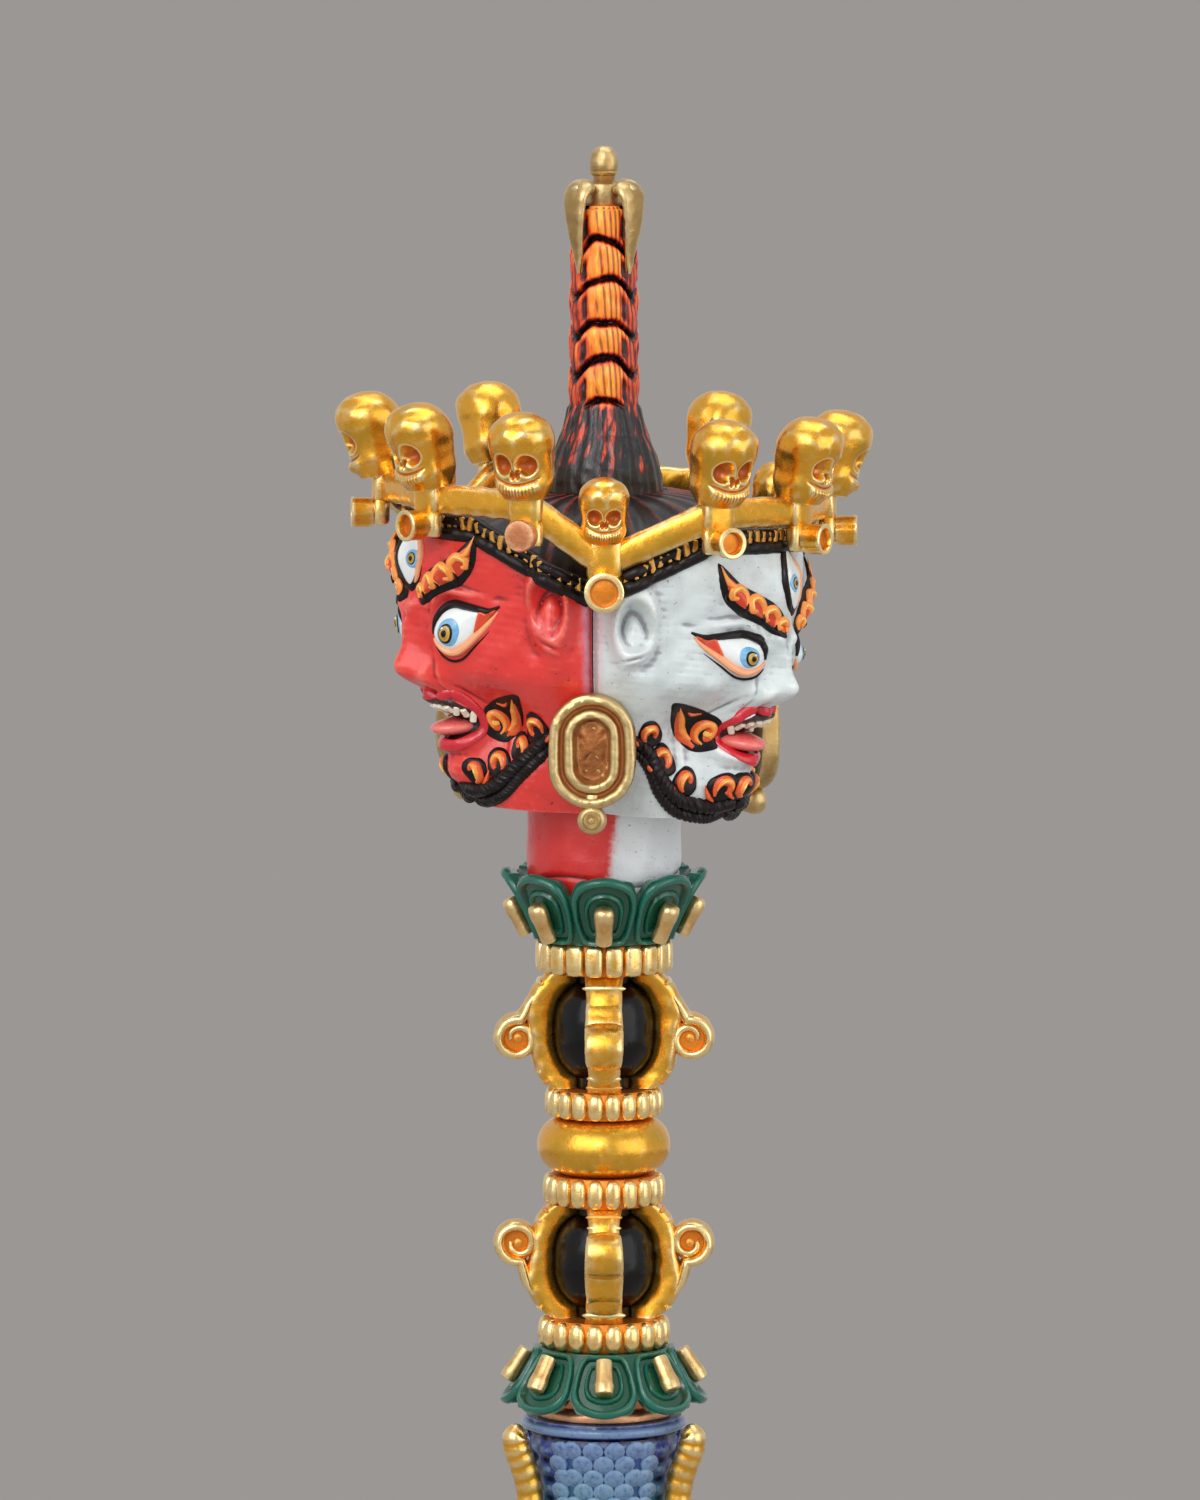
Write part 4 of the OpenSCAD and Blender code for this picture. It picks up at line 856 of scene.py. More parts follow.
def paint_brow(brush):
    """A brow like a leaf of flames: black behind, red-orange body, fused hooks of orange and yellow."""
    leaf = np.array([(2.4, 20.4), (4.5, 21.7), (8, 22.9), (12, 23.7), (16, 24.4), (20, 25.3), (24.0, 26.9),
                     (24.4, 25.0), (22.8, 23.2), (19.5, 21.9), (15.5, 21.1), (11, 20.4), (7, 19.6),
                     (4, 19.3)])
    brush.patch(leaf, 0.34, LINER, 70)
    body = [(3.8, 20.4), (6, 21.6), (9, 22.3), (13, 23.0), (17, 23.8), (20.5, 24.6), (23.3, 25.9),
            (23.3, 24.6), (21.6, 23.3), (18.5, 22.3), (14.5, 21.6), (10.5, 20.9), (7, 20.2), (4.6, 19.8)]
    brush.patch(body, 0.52, FLAME, 70)
    for a, h, r in ((5.6, 20.6, 0.5), (9.6, 21.5, 0.78), (14.8, 22.5, 0.92), (20.0, 23.7, 0.74)):
        hook = from_anchor(a, h, [(-0.85 * r, -1.25 * r), (-1.1 * r, 0.1), (-0.3 * r, 1.05 * r),
                                  (0.75 * r, 0.7 * r), (0.8 * r, -0.2 * r), (0.1 * r, -0.35 * r)])
        brush.line(hook, [0.3, 0.8, 0.9, 0.85, 0.7, 0.4], 0.36, ORANGE, 34, 0.4)
        brush.line(hook[1:5], [0.06, 0.3, 0.34, 0.1], 0.24, YELLOW, 22, 0.62)
        brush.line(from_anchor(a, h, [(1.15 * r, -0.9 * r), (1.4 * r, -0.1 * r), (1.2 * r, 0.9 * r)]),
                  [0.1, 0.3, 0.05], 0.26, LINER, 16, 0.46)
    brush.line([(20.6, 24.5), (22.4, 25.0), (23.9, 26.6)], [0.5, 0.6, 0.06], 0.3, ORANGE, 16, 0.42)


def paint_cheek_flame(brush):
    """A spiral towards the mouth and a tongue of flame towards the ear, on black."""
    def around(places):
        return from_anchor(23.0, 9.2, places)

    brush.patch(around([(4.5, 2.6), (1.8, 2.2), (-1.4, 1.4), (-2.9, 0.5), (-3.7, -1.4), (-2.7, -2.3),
                        (-0.7, -2.6), (1.1, -1.9), (2.9, -0.3), (4.1, 1.3)]), 0.26, LINER, 60)
    spiral = curl(-1.55, -0.6, 1.2, -75, 340, 0.5)
    brush.line(around(spiral), [0.5, 1.15, 1.25, 0.7], 0.5, FLAME, 40)
    brush.line(around(spiral[:-1]), [0.2, 0.72, 0.78, 0.3], 0.36, ORANGE, 34, 0.36)
    brush.line(around([(-0.6, -2.1), (0.9, -1.1), (2.2, 0.5), (3.9, 2.3)]), [0.6, 1.4, 1.3, 0.1], 0.5,
               FLAME, 30)
    brush.line(around([(0.1, -1.4), (1.3, -0.5), (2.3, 0.8), (3.5, 2.0)]), [0.3, 0.8, 0.75, 0.06], 0.36,
              ORANGE, 26, 0.36)
    brush.line(around([(-0.1, 1.5), (1.2, 1.4), (2.4, 1.9)]), [0.3, 0.55, 0.06], 0.36, FLAME, 20)
    brush.disc(*around([(-1.6, -0.65)])[0], 0.34, 0.7, YELLOW)


def paint_mouth(shape, head, brushes):
    """The open mouth: dark floor, lips, teeth and tongue."""
    half = [(0, 10.8), (5, 10.9), (9, 10.5), (11.9, 9.4), (11.2, 7.8), (7, 6.8), (3, 6.3)]
    brushes[0].patch(half + [(0, 6.2)] + [(-a, h) for a, h in half[:0:-1]], 0.16, MOUTH, 90)
    for brush in brushes:
        rim = [(-1.2, 10.9), (3, 11.05), (7, 11.25), (10.5, 10.9), (12.8, 10.0), (13.1, 8.8), (11.6, 7.6),
               (8, 6.65), (4, 6.1), (-1.2, 5.9)]
        brush.line(rim, [1.15, 1.3, 1.35, 1.2, 1.0, 0.95, 1.05, 1.15, 1.25, 1.3], 0.36, CRIMSON, 80, -0.04)
    a = np.array([s * (1.1 + 2.2 * k) for k in range(5) for s in (1, -1)])
    m, a = np.abs(a), painted_angle(a)
    h = 9.85 - 0.9 * np.square(m / 12)
    sizes = np.stack([np.ones_like(a), np.ones_like(a), np.where(m > 9, 1.3, 1.0)], -1)
    repeat(shape, block(0.34, 0.35, 0.6, 2.6, 10), IVORY, head.at(a, h, 0.1),
           turns_of(head.out_of(a, 0 * a + 12.0), (0, 0, 1)), sizes)
    r = np.linspace(13.3, 19.0, 16)
    wide = np.sqrt(np.clip(1 - np.square((r - 16.1) / 2.95), 0.01, 1))
    path = polar(r, head.az, Z_CHIN + 7.9 - 0.12 * np.maximum(0, r - 15.5) + askew(r, head.az))
    rings = bar_rings(path, (0, 0, 1), 2.1 * wide, 0.9 * wide, 2.0, 24)
    shape.loft(rings, CORAL)


BEARD = {"red": [(9, 3.2), (20, 4.1), (30, 6.0), (38, 7.9)],
         "white": [(4, 3.0), (11.5, 2.7), (26, 3.4), (35, 5.4), (40, 8.0)],
         "blue": [(5, 2.6), (13, 2.8), (23, 3.8), (32, 5.6), (39, 7.9)]}


def rope(shape, path, out, thick, twists):
    """Three black strands twisted round a path."""
    along = unit(np.gradient(path, axis=0))
    lift = unit(out - along * (out * along).sum(-1, keepdims=True))
    side = np.cross(along, lift)
    thick = np.broadcast_to(thick, len(path))
    for k in range(3):
        angle = 2 * math.pi * (twists * np.linspace(0, 1, len(path)) + k / 3)
        offset = lift * (np.cos(angle) * thick * 0.5)[:, None] + side * (np.sin(angle) * thick * 0.5)[:, None]
        cord(shape, path + offset, thick * 0.62, LINER, 8)


def paint_beard(shape, head, brushes):
    """Hooked locks of flame along the jaw over two ropes of dark strands."""
    curls = BEARD[head.name]
    for brush in brushes:
        jaw = [(1.5, curls[0][1] - 1.2)] + [(x, y - 1.5) for x, y in curls]
        jaw.append((curls[-1][0] + 6, curls[-1][1] + 0.2))
        for drop, thick, twists in ((0.0, 0.72, 9), (1.15, 0.62, 11)):
            line = smooth_path([(x, y - drop) for x, y in jaw], 150)
            skin = brush.side * line[:, 0], line[:, 1]
            rope(shape, head.at(*skin, 0.15 - 0.2 * drop), head.out_of(*skin),
                 thick * np.interp(np.linspace(0, 1, 150), [0, 0.1, 0.85, 1], [0.4, 1, 1, 0.4]), twists)
        for i, (x, y) in enumerate(curls):
            turn = (-40, 25, -10, 50, 10)[i]
            grow, y = (1.25, 1.4, 1.2, 1.35, 1.15)[i], y + 0.35
            t = np.radians(np.arange(0, 360, 30))
            edge = 1.25 * grow * (1 + 0.1 * np.sin(3 * t + i))
            brush.patch(from_anchor(x, y, np.stack([1.15 * edge * np.cos(t), edge * np.sin(t)], -1)), 0.42,
                        LINER)
            hook = curl(0, 0, 0.86 * grow, turn - 60, 265, 0.55)
            brush.line(from_anchor(x, y, hook), [0.3, 0.95, 1.05, 0.8, 0.4], 0.42, FLAME, 34, 0.36)
            brush.line(from_anchor(x, y, hook[1:8]), [0.15, 0.62, 0.66, 0.2], 0.32, ORANGE, 28, 0.62)
            brush.line(from_anchor(x, y, hook[2:6]), [0.05, 0.3, 0.06], 0.24, YELLOW, 18, 0.84)
            tail = [(x + 2.4, y - 1.2), (x + 5.0, y - 0.7), (x + 7.2, y + 0.4)]
            brush.line(tail, [0.3, 0.62, 0.06], 0.42, FLAME, 18, 0.3)


def paint_hairline(shape, head):
    """The black roll under the crown, and the row of gold ticks above it."""
    a = np.linspace(-58.5, 58.5, 240)
    h = hairline_h(a)
    r = head_outline(a, h) + 0.05
    place = head.az + drawn_angle(a, h)
    z = Z_CHIN + h + askew(r, place)
    uneven = ripple(polar(r, place, z), 1.3, 7) + 0.6 * ripple(polar(r, place, z), 3.0, 8)
    cord(shape, polar(r, place, z - 0.5 + 0.1 * uneven), 0.68 + 0.13 * uneven, LINER, 12)
    cord(shape, polar(r - 0.35, place, z + 0.75), 0.7, LINER, 10)
    a = np.arange(-57, 57.1, 2.5)
    h = hairline_h(a)
    place = head.az + drawn_angle(a, h)
    r = head_outline(a, h) + 0.1 + 0.05 * np.sin(a * 2.3)
    repeat(shape, block(0.3, 0.3, 0.6, 3.0, 10), TARNISH,
           polar(r, place, Z_CHIN + h + 0.62 + askew(r, place)), facing(place, 0.0, 0.25 * np.sin(a * 1.3)),
           1 + 0.2 * np.sin(a * 3.1))


def make_head(head, finish, slot):
    """One head: the skin in front, the seam faces and the hollow behind, then its paint."""
    shape = Shape()
    a = np.linspace(-59.8, 59.8, 221)[:, None]
    top = hairline_h(a)
    h = np.linspace(0, 1, 190)[None] * (top - head.lift)
    r = head.reach(a, h)
    drawn = head.az + drawn_angle(a, head.raised(h))
    skin = polar(r, drawn, Z_CHIN + head.raised(h) + askew(r, drawn))
    place = head.az + a
    inner = [polar(r[:, -1:] - 3.0, place, skin[:, -1:, 2])]
    for reach, high in ((12.4, 14.0), (8.7, 4.0), (7.9, 1.4)):
        inner.append(polar(reach + 0 * a, place, Z_CHIN + high + askew(reach, place)))
    rings = np.concatenate([skin, *inner], axis=1)
    edge = np.broadcast_to(np.abs(a), rings.shape[:2])
    # The face's edge in each seam groove is darkened as painted shade; the spray mark is the real overspray.
    shape.loft(rings, finish, spray=0.7 * share(edge, 53, 59) * share(60.5 - edge, 0.6, 2.4),
               hollow=share(edge, 57.4, 58.8))
    brushes = [Brush(shape, head, side) for side in (1, -1)]
    paint_mouth(shape, head, brushes)
    for brush in brushes:
        paint_eye(brush)
        paint_brow(brush)
        paint_cheek_flame(brush)
    paint_third_eye(brushes[0])
    paint_beard(shape, head, brushes)
    paint_hairline(shape, head)
    return cast(shape, "painted_head_" + head.name, slot, "face_" + head.name)


make_head(Head("red", 0.85), RED, "red_paint")
make_head(Head("white", -0.85), WHITE, "white_paint")
make_head(Head("blue", 0.0), BLUE, "blue_paint")


# Neck, earrings and hair
def make_neck():
    """The round neck with the folds under the chins."""
    shape = Shape()
    profile = smooth_path([(6.3, 0), (6.9, 2.0), (7.55, 4.6), (7.75, 6.6), (7.7, 9.0), (7.7, 20.0),
                           (7.7, 32.0)], 90)
    z = profile[:, 1:]
    az = np.arange(144)[None] * 2.5
    fold = 0.22 * bell(z - 4.9 - 0.5 * cosd(3 * az), 0.28) + 0.16 * bell(z - 2.4, 0.25)
    r = profile[:, :1] - fold + 0.07 * ripple(polar(profile[:, :1], az, z), 2.6, 11)
    rings = polar(r, az, Z_NECK + z)
    slant = az + 12.0 * (1 - z / 9) + 1.5 * ripple(polar(profile[:, :1], az, z), 3.0, 12)
    white = share((slant + 97) % 360, 0, 30) * (1 - share((az + 90) % 360, 110, 130))
    blue = share((az + 90) % 360, 110, 130) * (1 - share((az + 90) % 360, 230, 250))
    shape.loft(rings, NECK, white_share=np.broadcast_to(white, r.shape),
               blue_share=np.broadcast_to(blue, r.shape))
    return cast(shape, "painted_neck", "red_paint", "neck")


def stadium(inset):
    """The earring's long outline, moved in by inset, as across and up."""
    r = 4.3 - inset
    t = round_about(96)
    return np.stack([r * np.cos(t), r * np.sin(t) + 1.4 * np.tanh(6 * np.sin(t))], -1)


EARRING_GAP = 2.4
# Section through the earring, from the back outwards and in over both rims: inset and reach.
EARRING_PROFILE = [(3.0, 0.0), (0.5, 0.0), (0.12, 0.15), (0.0, 0.5), (0.05, 1.2), (0.0, 1.75), (0.12, 2.1),
                   (0.35, 2.25), (0.7, 2.28), (0.95, 2.12), (1.08, 1.85), (1.2, 1.62), (1.38, 1.6),
                   (1.5, 1.8), (1.65, 2.08), (1.9, 2.22), (2.2, 2.22), (2.42, 2.05), (2.55, 1.7),
                   (2.62, 1.2), (2.75, 0.82), (3.1, 0.7), (3.5, 0.76), (3.9, 0.72), (4.2, 0.74)]


def make_earring(i):
    """A long ring of two rims round a rough hollow, with a bead in a holder below."""
    shape = Shape()
    az = JUNCTION_AZ[i] + HEAD_TURN
    back = float(head_outline(HEAD_HALF, 8.62)) + EARRING_GAP
    z0 = Z_CHIN + askew(back, az)

    def plate(outline, out):
        return np.stack([np.full(len(outline), back + out), outline[:, 0], z0 + 6.9 + outline[:, 1]], -1)

    rings = []
    for inset, out in EARRING_PROFILE:
        ring = plate(stadium(inset), out)
        ring[:, 0] += (0.16 if inset > 2.7 and out > 0.3 else 0.05) * ripple(ring, 0.9, 20 + i)
        ring[:, 1] += 0.07 * ripple(ring, 3.4, 30 + i)
        rings.append(ring)
    shape.loft(turned(rings, az), OLD_BRASS)
    floor = [plate(stadium(2.85) * size, out)
             for size, out in ((1.0, 0.5), (1.0, 0.78), (0.8, 0.86), (0.45, 0.84), (0.06, 0.86))]
    for ring in floor:
        ring[:, 0] += 0.17 * ripple(ring, 0.8, 40 + i)
    # The rough floor gets extra painted shade.
    shape.loft(turned(floor, az), ROUGH, hollow=0.1)
    holder = smooth_path([(1.2, -1.75), (1.2, 0.2), (1.15, 1.4), (1.3, 1.75)], 5)
    bead = [(0.05, 2.75), (0.28, 2.72), (0.36, 2.6), (0.5, 2.62), (0.75, 2.62), (0.86, 2.5), (1.0, 2.5),
            (1.25, 2.3), (1.42, 1.9), (1.45, 1.2), (1.3, 0.7), (1.1, 0.0), (1.1, holder[0, 1]),
            (0.05, holder[0, 1])]
    shape.loft(turned(wheel(bead, 40, 0.85, (back + 0.1, 0, z0 + 0.11)), az), OLD_BRASS)
    clip = smooth_path([(back + 1.1, 0, z0 + 1.2), (back + 1.25, 0, z0 + 1.7), (back + 1.1, 0, z0 + 2.4)], 8)
    shape.loft(turned(bar_rings(clip, (1, 0, 0), 0.7, 0.85, 3.0, 16), az), OLD_BRASS)
    return cast(shape, "brass_earring_" + str(i + 1), "old_brass", "earring_" + str(i + 1))


def make_hair_cap():
    """Combed black hair from the hairline up to the topknot's foot."""
    shape = Shape()
    u = np.linspace(0, 1, 60)[:, None]
    az = np.arange(480)[None] * 0.75
    nearest = np.stack([(az - HEAD_TURN - f + 180) % 360 - 180 for f in FACE_AZ.values()])
    a = np.take_along_axis(nearest, np.abs(nearest).argmin(0)[None], 0)[0]
    edge_r = head_outline(a, hairline_h(a)) - 0.35
    edge_z = Z_CHIN + hairline_h(a) + 0.12 + askew(edge_r, az)
    comb = 0.16 * sind(az * 36 + 160 * sind(az * 3) * u) * share(u, 0, 0.15)
    r = edge_r + (6.6 - edge_r) * u
    z = edge_z + (Z_TOPKNOT - edge_z) * sind(90 * u ** 0.75) + comb * (1 - u * 0.5)
    rings = polar(r, az, z - 0.16 * (1 - u))
    under = [polar(6.0 + 0 * edge_r, az, edge_z * 0 + 205.0), polar(edge_r * 0.9, az, edge_z - 0.4)]
    shape.loft(np.concatenate([*under, rings]), CAP_HAIR)
    return cast(shape, "combed_hair_cap", "black_lacquer", "hair_cap")


def make_topknot():
    """Tiers of combed hair, arched in front and notched below, over a dark grooved foot."""
    shape = Shape()
    z = np.linspace(0, 28.5, 330)[:, None]
    az = np.arange(360)[None] * 1.0
    wave = cosd(3 * (az + 90))
    tiers = np.clip((z - 8.55) / 3.99, -0.6, 5)
    phase = tiers - 0.24 * wave - 0.05 * cosd(6 * az) + 0.1 * ripple(polar(3.0, az, z), 4.5, 53)
    part = phase - np.floor(phase)
    slot = bell(wave + 0.35, 0.3) * share(part, 0.15, 0.3) * share(0.8 - part, 0, 0.2)
    foot_r = np.interp(z, [0, 1.2, 2.57, 4.2, 5.8, 7.4, 8.9], [5.9, 5.8, 5.55, 4.95, 4.3, 3.85, 3.5])
    tier_r = 3.25 - 0.055 * np.floor(np.clip(phase, 0, 5))
    upper = share(z, 8.2, 9.2)
    swell = 0.32 * np.sin(math.pi * part) ** 0.6 - 0.75 * (bell(part, 0.07) + bell(part - 1, 0.07))
    strands = np.sin(np.radians(az * 30) + 9 * sind(1.5 * (az + 90)) ** 2 + phase * 3.0)
    r_tier = tier_r + swell + 0.045 * strands - 0.3 * slot
    grooves = sind(az * 22 + 25 * np.sin(z * 0.8))
    r_foot = foot_r + 0.06 * grooves
    r = r_foot * (1 - upper) + r_tier * upper
    r = r + 0.05 * ripple(polar(r, az, z), 1.6, 50)
    r = r * np.where(z > 28.2, 0.9, 1.0)
    front = np.clip(0.62 + 0.42 * wave, 0, 1)
    tone_tier = (0.32 + 0.62 * front) * share(np.minimum(part, 1 - part), 0.02, 0.2) * (0.75 + 0.25 * part)
    tone_tier = (tone_tier + 0.08 * strands
                 + 0.14 * ripple(polar(3.0, az, z * 0.4), 1.0, 54)) * (1 - 0.9 * slot)
    brushed = 0.12 + ripple(polar(6.0, az, z * 0.5), 0.9, 51) + 0.2 * grooves
    brushed = brushed + 0.8 * ripple(polar(6.0, az, z), 4.0, 52)
    tone_foot = 0.03 + 0.36 * share(brushed, 0.15, 0.9) * share(z, 0.3, 3.5)
    tone = tone_foot * (1 - upper) + tone_tier * upper
    shape.loft(polar(r, az, Z_TOPKNOT + z), HAIR, tone=np.broadcast_to(tone, r.shape))
    return cast(shape, "bound_topknot", "hair_orange", "topknot", blur=1)


# Finial
def make_finial():
    """The bud on its collar, and four leaves that hang over the topknot."""
    shape = Shape()
    profile = [(1.9, 0), (2.0, 0.3), (2.0, 1.8), (1.85, 2.12), (1.2, 2.4), (1.05, 2.6), (1.1, 2.9),
               (1.45, 3.15), (1.5, 3.3), (1.36, 3.42), (1.42, 3.6), (1.44, 4.1), (1.4, 4.6), (1.25, 5.1),
               (1.0, 5.5), (0.62, 5.78), (0.25, 5.88), (0.04, 5.9)]
    profile = np.concatenate([[(0.04, 0)], profile])
    shape.lathe(profile + np.array([0, Z_FINIAL]), OLD_BRASS, 48, 0.04, 1.2, 60)
    cast(shape, "finial_bud", "old_brass", "finial_hub")
    for i in range(4):
        claw = Shape()
        path = smooth_path([(2.3, 1.6), (3.1, 1.75), (3.9, 1.1), (4.15, -0.4), (4.05, -2.4), (3.75, -4.6),
                            (3.55, -6.7)], 34)
        t = np.linspace(0, 1, 34)
        wide = np.interp(t, [0, 0.15, 0.3, 0.5, 0.75, 1], [1.0, 1.5, 1.6, 1.35, 0.85, 0.16])
        tall = np.interp(t, [0, 0.15, 0.3, 0.5, 0.75, 1], [0.55, 0.75, 0.6, 0.45, 0.32, 0.1])
        place = np.stack([path[:, 0], 0 * t, Z_FINIAL + path[:, 1]], -1)
        up = np.stack([np.gradient(path[:, 1]), 0 * t, -np.gradient(path[:, 0])], -1)
        rings = bar_rings(place, up, wide, tall, 2.3, 20)
        rings = rings + 0.05 * ripple(rings, 1.2, 61 + i)[..., None]
        claw.loft(turned(rings, 90 * i - 45), OLD_BRASS)
        inner = bar_rings(place[6:] - (0.36, 0, 0), up[6:], wide[6:] * 0.7, tall[6:] * 0.45, 2.0, 12)
        claw.loft(turned(inner, 90 * i - 45), PIT)
        knob = bar_rings(np.array([(2.6, 0, Z_FINIAL + 1.5), (3.2, 0, Z_FINIAL + 1.9),
                                   (3.8, 0, Z_FINIAL + 1.5), (4.1, 0, Z_FINIAL + 0.8)]), (0, 0, 1),
                         [0.5, 0.8, 0.78, 0.3], [0.4, 0.6, 0.6, 0.25], 2.0, 14)
        claw.loft(turned(knob, 90 * i - 45), OLD_BRASS)
        cast(claw, "finial_leaf_" + str(i + 1), "old_brass", "finial_claw_" + str(i + 1))


# Crown
def over_seam(k):
    """Every fourth knuckle stands over a seam: lower, further in and with a taller post."""
    return k % 4 == 0


def tall_post(k):
    return 1.1 if over_seam(k) else 0


def knuckle(k):
    """Azimuth, reach and height of one knuckle of the crown band."""
    az = -90 + 30 * k + {9: 4, 10: 9, 11: 10}.get(k, 0)
    r = 19.0 if over_seam(k) else 21.9
    return az, r, Z_BAND - (5.3 if over_seam(k) else 0.0) + askew(r, az)


def make_crown_band():
    """The strap from knuckle to knuckle, and the knuckles with their posts."""
    shape = Shape()
    for k in range(12):
        az, r, z = knuckle(k)
        az_2, r_2, z_2 = knuckle((k + 1) % 12)
        ends = np.array([polar(r, az, z), polar(r_2, az_2, z_2)]).reshape(2, 3)
        t = np.linspace(0.02, 0.98, 30)[:, None]
        path = ends[0] * (1 - t) + ends[1] * t
        rings = bar_rings(path, (0, 0, 1), 0.92, 1.5, 2.6, 28)
        rings = rings + 0.1 * ripple(rings, 1.9, 70 + k)[..., None] * (0.5, 0.5, 1)
        shape.loft(rings, GILDING)
        seat = z + 1.5 + tall_post(k)
        x, y = oval(28, 2.8)
        rings = []
        for high, size in ((z - 3.9, 0.72), (z - 3.75, 0.92), (z - 3.4, 1.0), (z - 1.8, 1.03),
                           (z - 1.4, 0.94), (z - 1.1, 1.02), (z + 0.6, 1.02), (seat - 0.5, 1.0),
                           (seat - 0.1, 0.94), (seat, 0.8)):
            ring = np.stack([r + 0.4 + x * 0.85 * size, y * 1.7 * size, np.full(28, high)], -1)
            rings.append(ring + 0.07 * ripple(ring, 1.5, 90 + k)[:, None])
        shape.loft(turned(rings, az), GILDING)
    return cast(shape, "hammered_crown_band", "gilding", "crown_band")


def skull_form():
    """One skull 1 wide and 1.265 high: dome, deep sockets, split nose, cheeks and a toothed crescent jaw."""
    height, rows, cols = 1.265, 92, 112
    t = np.linspace(0, 1, rows)
    half = smooth_path([(0, 0.33, 0.27), (0.10, 0.40, 0.33), (0.22, 0.44, 0.37), (0.36, 0.435, 0.38),
                        (0.5, 0.455, 0.41), (0.62, 0.485, 0.45), (0.74, 0.485, 0.46), (0.84, 0.43, 0.42),
                        (0.92, 0.33, 0.33), (0.97, 0.21, 0.21), (1.0, 0.02, 0.02)], 400)
    across = np.interp(t, half[:, 0], half[:, 1])[:, None]
    deep = np.interp(t, half[:, 0], half[:, 2])[:, None]
    s = np.linspace(-1, 1, cols, endpoint=False)[None]
    phi = math.pi * np.sign(s) * np.abs(s) ** 1.35
    z = (t * height)[:, None] + 0 * s
    y, x = across * np.sin(phi), deep * np.cos(phi)
    m = np.abs(y)
    front = share(np.cos(phi), 0.0, 0.45)
    socket = np.hypot((m - 0.18) / 0.125, (z - 0.57) / 0.145)
    pit = 1 / (1 + np.exp((socket - 1) * 8))
    nose = np.hypot((m - 0.04) / 0.035, (z - 0.42 - 0.25 * m) / 0.07)
    change = -0.10 * pit - 0.08 * bell(socket, 0.7) + 0.015 * bell(socket - 1.25, 0.18)
    change = change - 0.07 / (1 + np.exp((nose - 1) * 8))
    jaw = z - (0.16 + 0.75 * m ** 2)
    change += 0.07 * bell(jaw, 0.08) * share(0.37 - m, 0, 0.08)
    teeth = 0.5 + 0.5 * np.cos(2 * math.pi * m / 0.05)
    change -= 0.022 * bell(jaw, 0.05) * teeth * share(0.33 - m, 0, 0.05)
    change -= 0.03 * bell(jaw - 0.12, 0.022) * share(0.36 - m, 0, 0.06)
    x = x + change * front
    hood = share(-np.cos(phi), 0.2, 0.8)
    x = x - 0.10 * hood * share(0.9 - t[:, None], 0, 0.4)
    y = y * (1 + 0.10 * hood * share(0.8 - t[:, None], 0, 0.4))
    points = np.stack([x, y, z], -1)
    points = points + 0.008 * ripple(points, 0.25, 110)[..., None]
    shape = Shape()
    shape.loft(points, None)
    return shape


SKULL_LEAN = math.radians(12)


def make_skulls():
    """Twelve skulls on the knuckles, small ones over the seams."""
    form = skull_form()
    groups = {"skulls_white": (1, 2, 3), "skulls_blue": (5, 6, 7), "skulls_red": (9, 10, 11),
              "junction_skulls": (0, 4, 8)}
    for node, which in groups.items():
        places = [knuckle(k) for k in which]
        width = np.where(np.array([over_seam(k) for k in which]), 5.2, 6.8)
        az = np.array([p[0] for p in places], float)
        r = np.array([p[1] for p in places]) + 0.6
        seat = np.array([p[2] + 1.4 + tall_post(k) for p, k in zip(places, which)])
        shape = Shape()
        repeat(shape, form, GILDING, polar(r, az, seat - 0.35), facing(az, SKULL_LEAN), width * 0.985)
        cast(shape, "cast_" + node, "gilding", node, blur=1)


def make_cups():
    """Twelve cups on the band: eleven have a thick rim round an orange hollow, one is a flat stopper."""
    shape = Shape()
    cup = [(0.55, 0), (0.9, 0), (0.96, 0.3), (0.95, 0.8), (1.0, 0.88), (1.0, 0.98), (0.92, 1.02), (0.74, 1.0),
           (0.68, 0.93), (0.64, 0.72), (0.5, 0.66), (0.06, 0.64)]
    pit = [(0.1, 0.4), (0.66, 0.4), (0.66, 0.7), (0.45, 0.74), (0.06, 0.76)]
    stopper = [(0.3, 0), (0.96, 0), (1, 1.0), (0.92, 1.25), (0.5, 1.32), (0.06, 1.3)]
    for which, r in (((0, 4, 8), 1.95), ((1, 2, 3, 5, 6, 7, 9, 10), 1.55), ((11,), 1.6)):
        places = [knuckle(k) for k in which]
        az = np.array([p[0] for p in places], float)
        spots = polar(np.array([p[1] for p in places]) + 1.15, az, np.array([p[2] for p in places]) - 2.68)
        forms = [(stopper, 1.0, COPPER)] if which == (11,) else [(cup, 2.15, GILDING), (pit, 2.15, PIT)]
        for profile, deep, finish in forms:
            form = Shape()
            form.loft(wheel([(reach * r, out) for reach, out in profile], 36, deep), None)
            repeat(shape, form, finish, spots, facing(az))
    return cast(shape, "crown_jewel_cups", "pale_gold", "jewel_cups")


make_neck()
for i in range(3):
    make_earring(i)
make_hair_cap()
make_topknot()
make_finial()
make_crown_band()
make_skulls()
make_cups()


# Grip: bead rings, cages and knob
def pillow(out, across, up, power):
    """A closed bead, squarer as the power grows; out, across and up are half sizes."""
    shape = Shape()
    x, y = oval(16, power)
    rings = []
    for a in np.radians(np.linspace(-84, 84, 11)):
        size = np.cos(a) ** (2 / power)
        high = up * math.copysign(abs(math.sin(a)) ** (2 / power), a)
        rings.append(np.stack([x * out * size, y * across * size, np.full(16, high)], -1))
    shape.loft(rings, None)
    return shape


